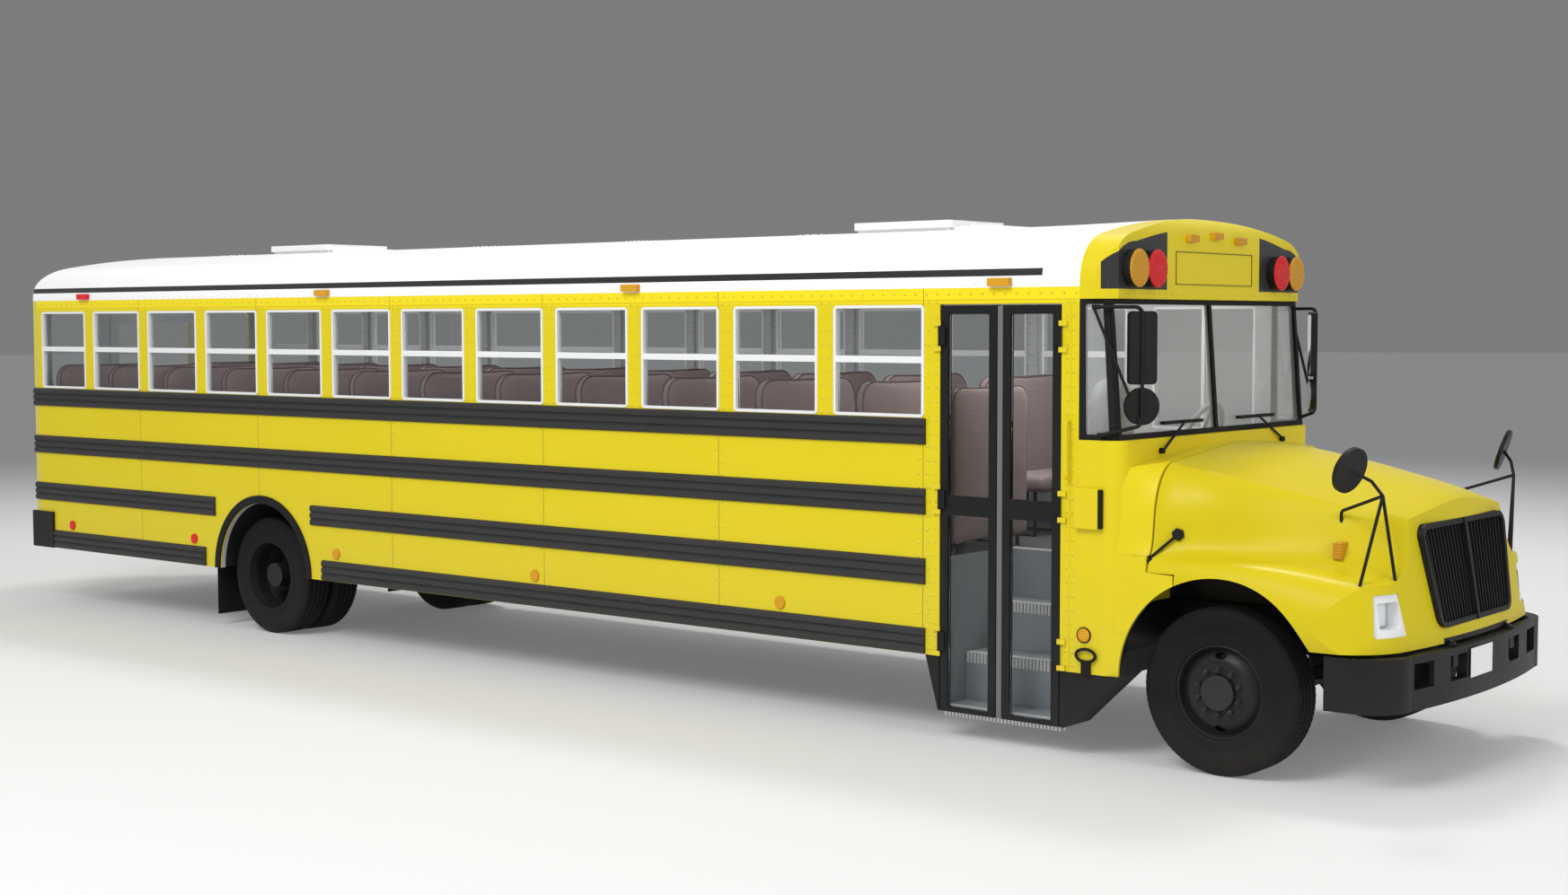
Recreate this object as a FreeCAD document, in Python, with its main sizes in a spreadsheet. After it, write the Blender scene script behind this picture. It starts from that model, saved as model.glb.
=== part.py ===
import FreeCAD, Part
import math
import os
from FreeCAD import Placement, Rotation, Vector

# Conventional school bus: a long flat-sided body on a truck chassis with a sloping nose.
# Lengths are in millimetres. Stations are measured forward from the rear face of the body,
# and each finished piece is then moved so that the origin is on the ground at mid-length.
# +X is forward, +Y is the driver's (left) side and +Z is up.

doc = FreeCAD.newDocument("SchoolBus")

SIZES = [
    # overall body
    ("body_width", 2438, "outside width over the side walls"),
    ("wall", 45, "thickness of walls, roof and doors"),
    ("skirt_z", 492, "bottom edge of the side walls"),
    ("header_z", 2685, "top edge of the side walls, where the roof starts"),
    ("roof_rise", 400, "rise of the roof crown above the header"),
    ("roof_corner", 280, "radius of the roof's rounded corner"),
    ("crown_radius", 4500, "radius of the roof crown"),
    ("roof_end_drop", 295, "drop of the roof to its rear end"),
    ("roof_end_run", 850, "length of the rounded rear end of the roof"),
    ("body_front", 10810, "station of the front end of the side walls"),
    ("floor_z", 1075, "top of the floor"),
    ("floor_thick", 35, "thickness of the floor panel"),
    ("seam_gap", 0.3, "gap left between pieces that only touch"),
    # windows
    ("window_first", 135, "station of the rear edge of the first window"),
    ("window_pitch", 811, "distance from one window to the next"),
    ("window_count", 12, "windows on each side behind the door"),
    ("window_width", 684, "width of a window opening"),
    ("window_sill_z", 1915, "bottom of the windows"),
    ("window_head_z", 2588, "top of the windows"),
    ("window_corner", 28, "corner radius of a window opening"),
    ("sash_bar_z", 2240, "bottom of the bar between the two sashes"),
    ("sash_bar", 41, "height of the bar between the two sashes"),
    ("sash_rim", 18, "visible width of the window frames"),
    ("glass", 6, "thickness of the glass"),
    ("driver_window_x", 9935, "rear edge of the driver's window"),
    ("driver_window_long", 760, "length of the driver's window"),
    ("driver_sill_z", 1760, "bottom of the driver's window"),
    # rub rails
    ("rail_high", 157, "height of a rub rail"),
    ("rail_deep", 20, "how far a rub rail stands out"),
    ("rail_first_z", 494, "bottom of the lowest rub rail"),
    ("rail_pitch", 420, "height from one rub rail to the next"),
    ("rail_end", 9755, "front end of the rails on the door side"),
    # entrance door
    ("door_rear", 9855, "rear edge of the entrance"),
    ("door_front", 10694, "front edge of the entrance"),
    ("door_sill_z", 165, "bottom of the entrance door"),
    ("door_head_z", 2590, "top of the entrance"),
    ("door_split", 10278, "station where the two door leaves meet"),
    ("door_seal", 38, "width of the soft strip between the leaves"),
    ("door_gap", 7, "gap round the door leaves"),
    ("door_rim", 52, "width of the door frame members"),
    ("door_bar_z", 1342, "bottom of the door's middle bar"),
    ("door_bar", 115, "height of the door's middle bar"),
    ("door_thick", 38, "thickness of a door leaf"),
    ("hinge_out", 12, "distance of a hinge pin outside the wall face"),
    ("hinge_radius", 9, "radius of a hinge barrel"),
    # steps
    ("step_sheet", 18, "thickness of the step panels"),
    ("step_low_z", 190, "top of the lowest step"),
    ("step_mid_z", 480, "top of the second step"),
    ("step_high_z", 775, "top of the third step"),
    ("step_run", 245, "depth of each step"),
    # rear end
    ("exit_width", 960, "width of the rear emergency exit"),
    ("exit_sill_z", 1062, "bottom of the rear emergency exit"),
    ("exit_head_z", 2570, "top of the rear emergency exit"),
    ("exit_window_z", 1915, "bottom of the exit's upper glass"),
    ("rear_window_in", 590, "inner edge of the rear side windows from the centre"),
    ("rear_window_width", 480, "width of the rear side windows"),
    # front end
    ("screen_top_x", 10977, "station of the windshield's top edge"),
    ("screen_base_x", 11036, "station of the windshield's bottom edge"),
    ("screen_top_z", 2600, "top of the windshield opening"),
    ("screen_base_z", 1835, "bottom of the windshield opening"),
    ("screen_half", 1168, "half width of the flat windshield"),
    ("screen_bar", 30, "width of the windshield frame bars"),
    ("cap_front", 11012, "station of the front cap's face"),
    ("cap_rise", 15, "rise of the front cap above the roof crown"),
    ("flare_x", 9800, "station where the roof starts to rise to the front cap"),
    ("cap_round", 120, "rounding of the cap's front edge"),
    ("cowl_front", 11080, "station of the cowl's front face"),
    ("cowl_corner", 110, "corner radius of the cowl"),
    ("cowl_sheet", 30, "thickness of the cowl panels"),
    # hood
    ("hood_rear", 11240, "station of the hood's rear edge"),
    ("hood_gap", 8, "gap between hood and cowl"),
    ("hood_sheet", 24, "thickness of the hood shell"),
    ("hood_base_z", 748, "bottom edge of the hood"),
    ("nose_long", 1606, "hood from the cowl to the nose at its bottom edge"),
    ("nose_rake", 0.1667, "backward lean of the grille face"),
    ("grille_half_top", 600, "half width of the grille at its top"),
    ("grille_half_base", 515, "half width of the grille at its bottom"),
    ("grille_top_z", 1395, "top of the grille opening"),
    ("grille_base_z", 832, "bottom of the grille opening"),
    ("grille_rim", 28, "width of the grille surround"),
    ("grille_slats", 26, "number of upright grille slats"),
    ("lamp_y", 947, "headlamp centre from the middle"),
    ("lamp_z", 940, "headlamp centre height"),
    ("lamp_wide", 225, "width of the headlamp pocket"),
    ("lamp_high", 215, "height of the headlamp pocket"),
    ("hood_pin_back", 10, "hood's tilt hinge behind the nose"),
    ("hood_pin_z", 738, "height of the hood's tilt hinge"),
    ("hood_pin_y", 420, "hood hinge ears from the middle"),
    ("pin_radius", 8, "radius of the hinge pins"),
    # bumpers
    ("bumper_out", 39, "foremost point of the front bumper ahead of the nose"),
    ("bumper_base_z", 440, "bottom of the front bumper"),
    ("bumper_top_z", 730, "top of the front bumper"),
    ("bumper_half", 1165, "half width of the front bumper"),
    ("bumper_sheet", 22, "thickness of the bumper shells"),
    ("bumper_notch", 30, "depth behind the bumper's face where the frame horns end"),
    ("rear_bumper_x", -48, "rearmost point of the rear bumper"),
    ("rear_bumper_wrap", 277, "station where the rear bumper ends on the sides"),
    ("rear_bumper_top_z", 812, "top of the rear bumper"),
    # wheels and axles
    ("tyre_radius", 465, "outside radius of the tyres"),
    ("tyre_width", 255, "width of a tyre"),
    ("rim_radius", 286, "bead seat radius of the rims"),
    ("front_axle_x", 11664, "station of the front axle"),
    ("rear_axle_x", 3280, "station of the rear axle"),
    ("track_half", 1028, "centre of the outer tyres from the middle"),
    ("twin_pitch", 290, "distance between the twin tyres"),
    ("arch_radius", 600, "radius of the front wheel arch"),
    ("rear_arch_radius", 560, "radius of the rear wheel arch"),
    ("arch_trim", 60, "width of the rear arch trim"),
    ("king_y", 850, "steering pivot from the middle"),
    ("spindle_radius", 38, "radius of the front wheel spindles"),
    ("bearing_gap", 0.5, "clearance between hubs and spindles"),
    ("drum_radius", 205, "radius of the brake drums"),
    # chassis
    ("frame_z", 600, "bottom of the frame rails"),
    ("frame_high", 250, "height of the frame rails"),
    ("frame_half", 432, "outside of the frame rails from the middle"),
    ("frame_flange", 85, "flange width of the frame rails"),
    ("frame_web", 10, "thickness of the frame rails"),
    ("spring_y", 478, "leaf spring centre from the middle"),
    ("engine_x", 11095, "rear of the engine block"),
    ("engine_long", 1000, "length of the engine block"),
    ("gearbox_long", 700, "length of the gearbox behind it"),
    ("engine_wide", 620, "width of the engine block"),
    ("engine_high", 880, "height of the engine block"),
    ("engine_base_z", 640, "bottom of the engine block"),
    ("tank_x", 6650, "rear of the fuel tank"),
    ("tank_long", 1350, "length of the fuel tank"),
    ("tank_wide", 560, "width of the fuel tank"),
    ("tank_high", 480, "height of the fuel tank"),
    # seats
    ("seat_width", 980, "width of a bench seat"),
    ("seat_top_z", 2120, "top of the seat backs"),
    ("seat_cushion_z", 1490, "top of the seat cushions"),
    ("seat_back", 95, "thickness of a seat back"),
    # lamps and mirrors
    ("warning_radius", 101, "radius of the round warning lamps"),
    ("warning_z", 2788, "height of the warning lamps"),
    ("warning_out", 1000, "outer warning lamp from the middle"),
    ("warning_in", 790, "inner warning lamp from the middle"),
    ("mirror_x", 11152, "station of the side mirrors' upright tube"),
    ("mirror_y", 1112, "side mirrors' upright tube from the middle"),
    ("mirror_tube", 11, "radius of the mirror tubes"),
    ("stop_size", 450, "width of the stop arm's plate"),
    ("stop_hinge_x", 9860, "station of the stop arm's hinge"),
    ("stop_z", 1625, "height of the stop arm's centre"),
    # roof hatches
    ("hatch_rear_x", 2240, "rear edge of the rear roof hatch"),
    ("hatch_front_x", 8517, "rear edge of the front roof hatch"),
    ("hatch_long", 788, "length of a roof hatch"),
    ("hatch_wide", 660, "width of a roof hatch"),
    ("hatch_lid", 48, "thickness of a hatch lid"),
    ("hatch_curb", 7, "height of the hatch curbs over the roof"),
    ("hatch_plinth", 14, "height of the low plinth ahead of each hatch"),
    ("hatch_pin", 14, "distance of a hatch's hinge pin ahead of the lid"),
]


def make_sheet(rows):
    """Fill the spreadsheet that drives the model: note, value and alias on each row."""
    sheet = doc.addObject("Spreadsheet::Sheet", "Sizes")
    for row, (alias, value, note) in enumerate(rows, start=1):
        sheet.set(f"A{row}", note)
        sheet.set(f"B{row}", str(value))
        sheet.setAlias(f"B{row}", alias)
    doc.recompute()
    return sheet


class Values:
    """Reads a size from the sheet by its alias, as a plain number."""

    def __init__(self, sheet):
        self.sheet = sheet

    def __getattr__(self, alias):
        return float(getattr(self.sheet, alias))


v = Values(make_sheet(SIZES))
half = v.body_width / 2
roof_z = v.header_z + v.roof_rise
cap_z = roof_z + v.cap_rise
roof_end_z = roof_z - v.roof_end_drop
nose_x = v.cowl_front + v.nose_long
hood_pin_x = nose_x - v.hood_pin_back
bumper_x = nose_x + v.bumper_out
mid_station = (bumper_x + v.rear_bumper_x) / 2
to_row = Placement(Vector(-mid_station, 0, 0), Rotation())
pieces = []


def keep(obj, label):
    """Give a finished sub-part its name and move it to the row frame."""
    obj.Label = label
    obj.Placement = to_row.multiply(obj.Placement)
    pieces.append(obj)
    return obj


def keep_shape(label, *solids):
    """Keep solids worked out from the sheet as one sub-part."""
    obj = doc.addObject("Part::Feature", label)
    found = [s for solid in solids for s in solid.Solids]
    obj.Shape = found[0] if len(found) == 1 else Part.makeCompound(found)
    return keep(obj, label)


# Profiles. A point is (a, b); a point with four values ends an arc whose middle is the last two.


def edges_of(points, to_space):
    edges = []
    for start, end in zip(points, points[1:] + points[:1]):
        a, b = to_space(*start[:2]), to_space(*end[:2])
        if len(end) == 4:
            edges.append(Part.Arc(a, to_space(*end[2:]), b).toShape())
        elif (a - b).Length > 1e-6:
            edges.append(Part.LineSegment(a, b).toShape())
    return edges


def face(points, to_space):
    return Part.Face(Part.Wire(edges_of(points, to_space)))


def slab_xz(points, y0, y1):
    """Solid with an outline in the XZ plane, from y0 to y1."""
    return face(points, lambda a, b: Vector(a, y0, b)).extrude(Vector(0, y1 - y0, 0))


def slab_yz(points, x0, x1):
    """Solid with an outline in the YZ plane, from x0 to x1."""
    return face(points, lambda a, b: Vector(x0, a, b)).extrude(Vector(x1 - x0, 0, 0))


def slab_xy(points, z0, z1, lean=0.0):
    """Solid with an outline in the XY plane, from z0 to z1, leaning back by lean per unit of height."""
    high = z1 - z0
    return face(points, lambda a, b: Vector(a, b, z0)).extrude(Vector(-lean * high, 0, high))


def box(x0, x1, y0, y1, z0, z1):
    return Part.makeBox(x1 - x0, y1 - y0, z1 - z0, Vector(x0, y0, z0))


def rounded(a0, a1, b0, b1, r):
    """Outline of a rectangle with rounded corners."""
    k = r * (1 - math.sqrt(0.5))
    return [
        (a0 + r, b0), (a1 - r, b0), (a1, b0 + r, a1 - k, b0 + k),
        (a1, b1 - r), (a1 - r, b1, a1 - k, b1 - k),
        (a0 + r, b1), (a0, b1 - r, a0 + k, b1 - k),
        (a0, b0 + r), (a0 + r, b0, a0 + k, b0 + k),
    ]


def square(a0, a1, b0, b1):
    return [(a0, b0), (a1, b0), (a1, b1), (a0, b1)]


def tube(points, radius, bend=40.0):
    """Round bar along straight runs joined by arcs."""
    corners = [Vector(*p) for p in points]
    edges, last = [], corners[0]
    for before, corner, after in zip(corners, corners[1:], corners[2:]):
        back = (before - corner).normalize()
        ahead = (after - corner).normalize()
        turn = back.getAngle(ahead)
        run = min(bend / math.tan(turn / 2), 0.45 * min((before - corner).Length, (after - corner).Length))
        one, two = corner + back * run, corner + ahead * run
        centre_way = (back + ahead).normalize()
        radius_here = run * math.tan(turn / 2)
        middle = corner + centre_way * (run / math.cos(turn / 2) - radius_here)
        edges.append(Part.LineSegment(last, one).toShape())
        edges.append(Part.Arc(one, middle, two).toShape())
        last = two
    edges.append(Part.LineSegment(last, corners[-1]).toShape())
    path = Part.Wire(edges)
    way = (corners[1] - corners[0]).normalize()
    ring = Part.Wire(Part.Circle(corners[0], way, radius).toShape())
    return path.makePipeShell([ring], True, False)


def mirrored(solid):
    """The same solid on the other side of the bus."""
    return solid.mirror(Vector(0, 0, 0), Vector(0, 1, 0))


def both(solid):
    return [solid, mirrored(solid)]


def rod_y(x, z, y0, y1, r):
    return Part.makeCylinder(r, y1 - y0, Vector(x, y0, z), Vector(0, 1, 0))


def rod_z(x, y, z0, z1, r):
    return Part.makeCylinder(r, z1 - z0, Vector(x, y, z0), Vector(0, 0, 1))


def rod_x(y, z, x0, x1, r):
    return Part.makeCylinder(r, x1 - x0, Vector(x0, y, z), Vector(1, 0, 0))


def fuse(*solids):
    return solids[0].multiFuse(list(solids[1:])).removeSplitter()


# Parametric bodies: sketches, pads and pockets bound to the sheet.


def new_body(label):
    body = doc.addObject("PartDesign::Body", label)
    return body


def plane_of(body, role):
    return next(f for f in body.Origin.OriginFeatures if f.Role == role)


def sketch_on(body, role, name, loops, lift=0.0):
    """Sketch on one of the body's own planes, with its loops drawn as lines and arcs."""
    sketch = body.newObject("Sketcher::SketchObject", name)
    sketch.AttachmentSupport = (plane_of(body, role), [""])
    sketch.MapMode = "FlatFace"
    sketch.AttachmentOffset = Placement(Vector(0, 0, lift), Rotation())
    for loop in loops:
        for edge in edges_of(loop, lambda a, b: Vector(a, b, 0)):
            first, last = edge.ParameterRange
            if edge.Curve.TypeId == "Part::GeomLine":
                sketch.addGeometry(Part.LineSegment(edge.valueAt(first), edge.valueAt(last)))
            else:
                sketch.addGeometry(Part.ArcOfCircle(edge.Curve, first, last))
    return sketch


def pad(body, sketch, length, reverse=False, both_ways=False):
    feature = body.newObject("PartDesign::Pad", "Pad")
    feature.Profile = sketch
    feature.Reversed = reverse
    feature.Midplane = both_ways
    feature.setExpression("Length", length)
    return feature


def pocket(body, sketch, reverse=False):
    feature = body.newObject("PartDesign::Pocket", "Pocket")
    feature.Profile = sketch
    feature.Type = 1
    feature.Midplane = True
    feature.Reversed = reverse
    return feature


def revolve(body, sketch):
    feature = body.newObject("PartDesign::Revolution", "Revolution")
    feature.Profile = sketch
    feature.ReferenceAxis = (sketch, ["V_Axis"])
    feature.Angle = 360
    return feature


# Body shell


def window_stations():
    return [v.window_first + i * v.window_pitch for i in range(int(v.window_count))]


def side_wall(label, side):
    """Flat side wall with its wheel arch, window openings and, on the door side, the entrance."""
    body = new_body(label)
    rear, front = v.wall + v.seam_gap, v.body_front
    top, low = v.header_z - v.seam_gap, v.skirt_z
    arch_x, r = v.rear_axle_x, v.rear_arch_radius
    outline = [
        (rear, low), (arch_x - r, low), (arch_x + r, low, arch_x, low + r),
    ]
    if side < 0:
        outline += [
            (v.door_rear, low), (v.door_rear, v.door_head_z),
            (v.door_front, v.door_head_z), (v.door_front, low),
        ]
    outline += [(front, low), (front, top), (rear, top)]
    wall = pad(body, sketch_on(body, "XZ_Plane", "Outline", [outline]), "Sizes.wall")
    opening = rounded(
        v.window_first, v.window_first + v.window_width, v.window_sill_z, v.window_head_z, v.window_corner
    )
    cut = pocket(body, sketch_on(body, "XZ_Plane", "Window", [opening]))
    row = body.newObject("PartDesign::LinearPattern", "WindowRow")
    row.Originals = [cut]
    row.Direction = (plane_of(body, "X_Axis"), [""])
    row.setExpression("Length", "Sizes.window_pitch * (Sizes.window_count - 1)")
    row.setExpression("Occurrences", "Sizes.window_count")
    body.Tip = row
    if side > 0:
        x0 = v.driver_window_x
        driver = rounded(x0, x0 + v.driver_window_long, v.driver_sill_z, v.window_head_z, v.window_corner)
        pocket(body, sketch_on(body, "XZ_Plane", "DriverWindow", [driver]))
    doc.recompute()
    # The pad runs towards -Y, so its outer face goes to the wall's outside on either side.
    body.Placement = Placement(Vector(0, half if side > 0 else -half + v.wall, 0), Rotation())
    return keep(body, label)


def roof_section(inset=0.0, top=None, base=None):
    """Half-round roof section: short upright sides, rounded corners and a shallow crown."""
    top = roof_z if top is None else top
    base = v.header_z if base is None else base
    big, small, side = v.crown_radius, v.roof_corner, half
    centre_z = top - big
    corner_y = side - small
    corner_z = centre_z + math.sqrt((big - small) ** 2 - corner_y**2)
    angle = math.atan2(corner_y, corner_z - centre_z)
    big, small = big - inset, small - inset
    join = (big * math.sin(angle), centre_z + big * math.cos(angle))
    half_way = (math.pi / 2 - angle) / 2
    bulge = (corner_y + small * math.cos(half_way), corner_z + small * math.sin(half_way))
    edge = corner_y + small
    return [
        (-edge, base), (edge, base), (edge, corner_z),
        (join[0], join[1], bulge[0], bulge[1]),
        (-join[0], join[1], 0, centre_z + big),
        (-edge, corner_z, -bulge[0], bulge[1]),
    ]


def rounded_end(x_end, run, z_low, rise, way, reach, base):
    """Side view of a roof whose end rounds down in a quarter ellipse; way is +1 forward."""
    centre = Vector(x_end - way * run, 0, z_low)
    long_axis = centre + Vector(way * run, 0, 0)
    short_axis = centre + Vector(0, 0, rise)
    if run >= rise:
        curve = Part.Ellipse(long_axis, short_axis, centre)
    else:
        curve = Part.Ellipse(short_axis, long_axis, centre)
    start = curve.parameter(long_axis)
    end = curve.parameter(short_axis)
    if (end - start) % (2 * math.pi) > math.pi:
        start, end = end, start
    arc = Part.Arc(curve, start, start + (end - start) % (2 * math.pi)).toShape()
    far = Vector(x_end - way * reach, 0, 0)
    tops = [Vector(far.x, 0, z_low + rise), Vector(far.x, 0, base), Vector(x_end, 0, base)]
    lines = Part.makePolygon([short_axis, *tops, long_axis])
    outline = Part.Wire(Part.__sortEdges__([arc, *lines.Edges]))
    side = Part.Face(outline)
    side.translate(Vector(0, -half - 50, 0))
    return side.extrude(Vector(0, 2 * half + 100, 0))


def roof_sweep(inset, base, rear):
    """Straight roof section from the rear, then a flare that rises to the front cap."""
    straight = slab_yz(roof_section(inset, base=base), rear, v.flare_x)
    long, rise = v.body_front - v.flare_x, cap_z - roof_z
    wires = []
    for share in (0, 0.35, 0.7, 1):
        lift = rise * share * share * (2 - share) ** 0.5
        x = v.flare_x + long * share
        wires.append(Part.Wire(edges_of(roof_section(inset, roof_z + lift, base), lambda a, b: Vector(x, a, b))))
    return straight.fuse(Part.makeLoft(wires, True, False))


def roof():
    """White roof shell with a rounded rear end, a flared front end and two hatch openings with curbs."""
    wall, rise, base = v.wall, roof_z - roof_end_z, v.header_z
    run, end_z = v.roof_end_run, roof_end_z
    rear = box(-1, run, -half - 1, half + 1, base, roof_z + 1)
    rear = rear.cut(rounded_end(0, run, end_z, rise + 1, -1, run, base - 1))
    shell = roof_sweep(0, base, 0).cut(rear)
    rear = box(-1, run, -half - 1, half + 1, base - 20, roof_z + 1)
    rear = rear.cut(rounded_end(wall, run - wall, end_z, rise - wall + 1, -1, run, base - 21))
    shell = shell.cut(roof_sweep(wall, base - 10, wall).cut(rear))
    for x in (v.hatch_rear_x, v.hatch_front_x):
        x1, w = x + v.hatch_long, v.hatch_wide / 2
        top = roof_z + v.hatch_curb
        curb = box(x + 30, x1 - 30, -w + 30, w - 30, roof_z - wall - 6, top)
        plinth = box(x1 - 31, x1 + 310, -w + 60, w - 60, roof_z - wall + 10, roof_z + v.hatch_plinth)
        plinth = plinth.cut(box(x1 - 32, x1 + 2, -w, w, top, top + 20))
        hole = box(x + 55, x1 - 55, -w + 55, w - 55, roof_z - wall - 50, top + 1)
        shell = shell.fuse(curb).fuse(plinth).cut(hole)
    return keep_shape("roof", shell)


def front_cap():
    """Yellow header above the windshield: the roof section carried forward to a rounded face."""
    rear, front = v.body_front + v.seam_gap, v.cap_front
    wall, base = v.wall, v.screen_top_z + v.screen_bar / 2
    r = v.cap_round
    outer = slab_yz(roof_section(top=cap_z, base=base), rear, front)
    edge = rounded_end(front, r, cap_z - r, r + 1, 1, v.cap_front, base)
    outer = outer.common(edge)
    corner_cut = [
        (rear - 1, -half - 1), (v.screen_top_x - 70, -half - 1), (front + 1, -v.screen_half + 30),
        (front + 1, v.screen_half - 30), (v.screen_top_x - 70, half + 1), (rear - 1, half + 1),
    ]
    outer = outer.common(slab_xy(corner_cut, base - 1, cap_z + 50))
    inner = slab_yz(roof_section(wall, top=cap_z, base=base - 10), rear - 10, front - wall)
    inner = inner.common(rounded_end(front - wall, r, cap_z - wall - r, r + 1, 1, v.cap_front, base - 10))
    shell = outer.cut(inner)
    # The side walls' header runs up to the cap, so nothing of the cap hangs below it.
    return keep_shape("front_cap", shell)


def rear_wall():
    """Upright rear panel with the emergency exit and two side windows."""
    body = new_body("rear_wall")
    low, top, r = v.skirt_z, v.header_z - v.seam_gap, v.window_corner * 2
    outline = [(-half, low), (half, low), (half, top), (-half, top)]
    exit_half = v.exit_width / 2
    holes = [rounded(-exit_half, exit_half, v.exit_sill_z, v.exit_head_z, r)]
    for side in (-1, 1):
        inner = side * v.rear_window_in
        outer = side * (v.rear_window_in + v.rear_window_width)
        holes.append(rounded(min(inner, outer), max(inner, outer), v.window_sill_z, v.window_head_z, r))
    pad(body, sketch_on(body, "YZ_Plane", "Outline", [outline]), "Sizes.wall")
    for hole in holes:
        pocket(body, sketch_on(body, "YZ_Plane", "Opening", [hole]))
    doc.recompute()
    return keep(body, "rear_wall")


def floor():
    """Floor panel with its cross members and two sills that sit on the frame rails."""
    gap = v.seam_gap
    side = half - v.wall - gap
    top, under = v.floor_z, v.floor_z - v.floor_thick
    sill_z = v.frame_z + v.frame_high + gap
    rear = v.wall + gap
    corner_x, front = v.cowl_front - v.cowl_corner, v.cowl_front - v.cowl_sheet - gap
    toe = half - v.cowl_corner
    plate = slab_xy([
        (rear, -side), (corner_x, -side), (front, -toe), (front, toe), (corner_x, side), (rear, side),
    ], under, top)
    well = box(v.door_rear - v.step_sheet - gap, v.door_front + v.step_sheet + gap,
               -side - 1, -half + v.wall + 3 * v.step_run, sill_z - 1, top + 1)
    beam_high = 70
    count = 18
    first, last = rear + 120, v.door_rear - 120
    beams = []
    for i in range(count):
        x = first + (last - first) * i / (count - 1)
        if abs(x - v.rear_axle_x) > v.rear_arch_radius + 30:
            beams.append(box(x - 30, x + 30, -side, side, under - beam_high, under))
    sills = [
        box(rear + 60, v.body_front - 60, y - 30, y + 30, sill_z, under)
        for y in (-v.frame_half + 45, v.frame_half - 45)
    ]
    return keep_shape("floor", fuse(plate, *beams, *sills).cut(well))


def wheel_wells():
    """Inner arches over the twin rear wheels, closed at the inboard side."""
    r, t = v.rear_arch_radius, 10
    x, gap = v.rear_axle_x, v.seam_gap
    outer_y, inner_y = half - v.wall - gap, v.frame_half + 103
    z = v.skirt_z + 8
    half_disc = [(x - r, z), (x + r, z), (x - r, z, x, z + r)]
    inner_disc = [(x - r + t, z - 1), (x + r - t, z - 1), (x - r + t, z - 1, x, z + r - t)]
    shell = slab_xz(half_disc, inner_y, outer_y).cut(slab_xz(inner_disc, inner_y + t, outer_y + 1))
    shell = shell.common(box(x - r - 1, x + r + 1, inner_y - 1, outer_y + 1, z - 1, v.floor_z - v.floor_thick - gap))
    shell = shell.cut(rod_y(x, v.tyre_radius, inner_y - 1, inner_y + t + 1, 115))
    return keep_shape("wheel_wells", *both(shell))


def cowl():
    """Body cowl under the windshield, its rounded corners, the firewall and the fixed fender roots."""
    rear, front, t = v.body_front + v.seam_gap, v.cowl_front, v.cowl_sheet
    low, top, r = v.skirt_z, v.screen_base_z - v.screen_bar / 2 - v.seam_gap, v.cowl_corner
    k = r * (1 - math.sqrt(0.5))
    outer = [
        (rear, -half), (front - r, -half), (front, -half + r, front - k, -half + k),
        (front, half - r), (front - r, half, front - k, half - k), (rear, half),
    ]
    h, q = half - t, (r - t) * (1 - math.sqrt(0.5))
    inner = [
        (rear - 1, -h), (front - r, -h), (front - t, -h + r - t, front - t - q, -h + q),
        (front - t, h - r + t), (front - r, h, front - t - q, h - q), (rear - 1, h),
    ]
    shell = slab_xy(outer, low, top).cut(slab_xy(inner, low - 1, top - t))
    opening = box(v.body_front - 1, v.screen_base_x - 25, -half + t, half - t, top - t - 1, top + 1)
    shell = shell.cut(opening)
    # The rear ends of the hood's form, fixed to the cowl, carry the fenders down behind the wheels.
    cabin = slab_xy(inner, v.skirt_z - 1, roof_z)
    root = fairing_form(0).cut(fairing_form(v.hood_sheet)).cut(cabin)
    root = root.common(box(v.body_front, v.hood_rear, -half, half, v.skirt_z, roof_z))
    lower = fender_root()
    arch = rod_y(v.front_axle_x, v.skirt_z, -half - 50, half + 50, v.arch_radius)
    tunnel = box(front - t - 1, front + 1, -640, 640, low - 1, v.floor_z - v.floor_thick)
    shell = fuse(shell, root, *both(lower)).cut(arch).cut(tunnel)
    return keep_shape("cowl", shell)


def fender_root():
    """Side panel behind the front wheel, from the cowl to the hood's rear edge."""
    y1 = half - 18
    outline = [
        (v.cowl_front - v.cowl_corner, v.skirt_z), (v.hood_rear + 160, v.skirt_z),
        (v.hood_rear + 160, 1088), (v.hood_rear - v.hood_gap, 1096), (v.hood_rear - v.hood_gap, 1180),
        (v.cowl_front - v.cowl_corner, 1180),
    ]
    return slab_xz(outline, y1 - v.hood_sheet, y1)


def hood_half(station):
    """Half section of the nose at a share of its length, as (y, z) points from the fender to the crown."""
    table = [
        (0.10, (1200, 1020), (1185, 1130), (1150, 1210), (1111, 1450), (1050, 1610), (930, 1700), (0, 1775)),
        (0.27, (1203, 1040), (1150, 1170), (1075, 1205), (1015, 1420), (955, 1560), (870, 1637), (0, 1750)),
        (0.52, (1200, 1030), (1110, 1165), (985, 1200), (895, 1370), (850, 1490), (800, 1563), (0, 1705)),
        (0.75, (1188, 1010), (1085, 1130), (930, 1160), (800, 1330), (765, 1430), (735, 1495), (0, 1640)),
        (0.90, (1165, 1000), (1070, 1098), (880, 1125), (735, 1280), (708, 1385), (690, 1455), (0, 1580)),
        (1.00, (1130, 985), (1030, 1078), (850, 1102), (705, 1240), (683, 1350), (668, 1432), (0, 1535)),
    ]
    station = max(station, table[0][0])
    for low, high in zip(table, table[1:]):
        if station <= high[0]:
            share = (station - low[0]) / (high[0] - low[0])
            pairs = zip(low[1:], high[1:])
            return [(a[0] + (b[0] - a[0]) * share, a[1] + (b[1] - a[1]) * share) for a, b in pairs]


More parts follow.
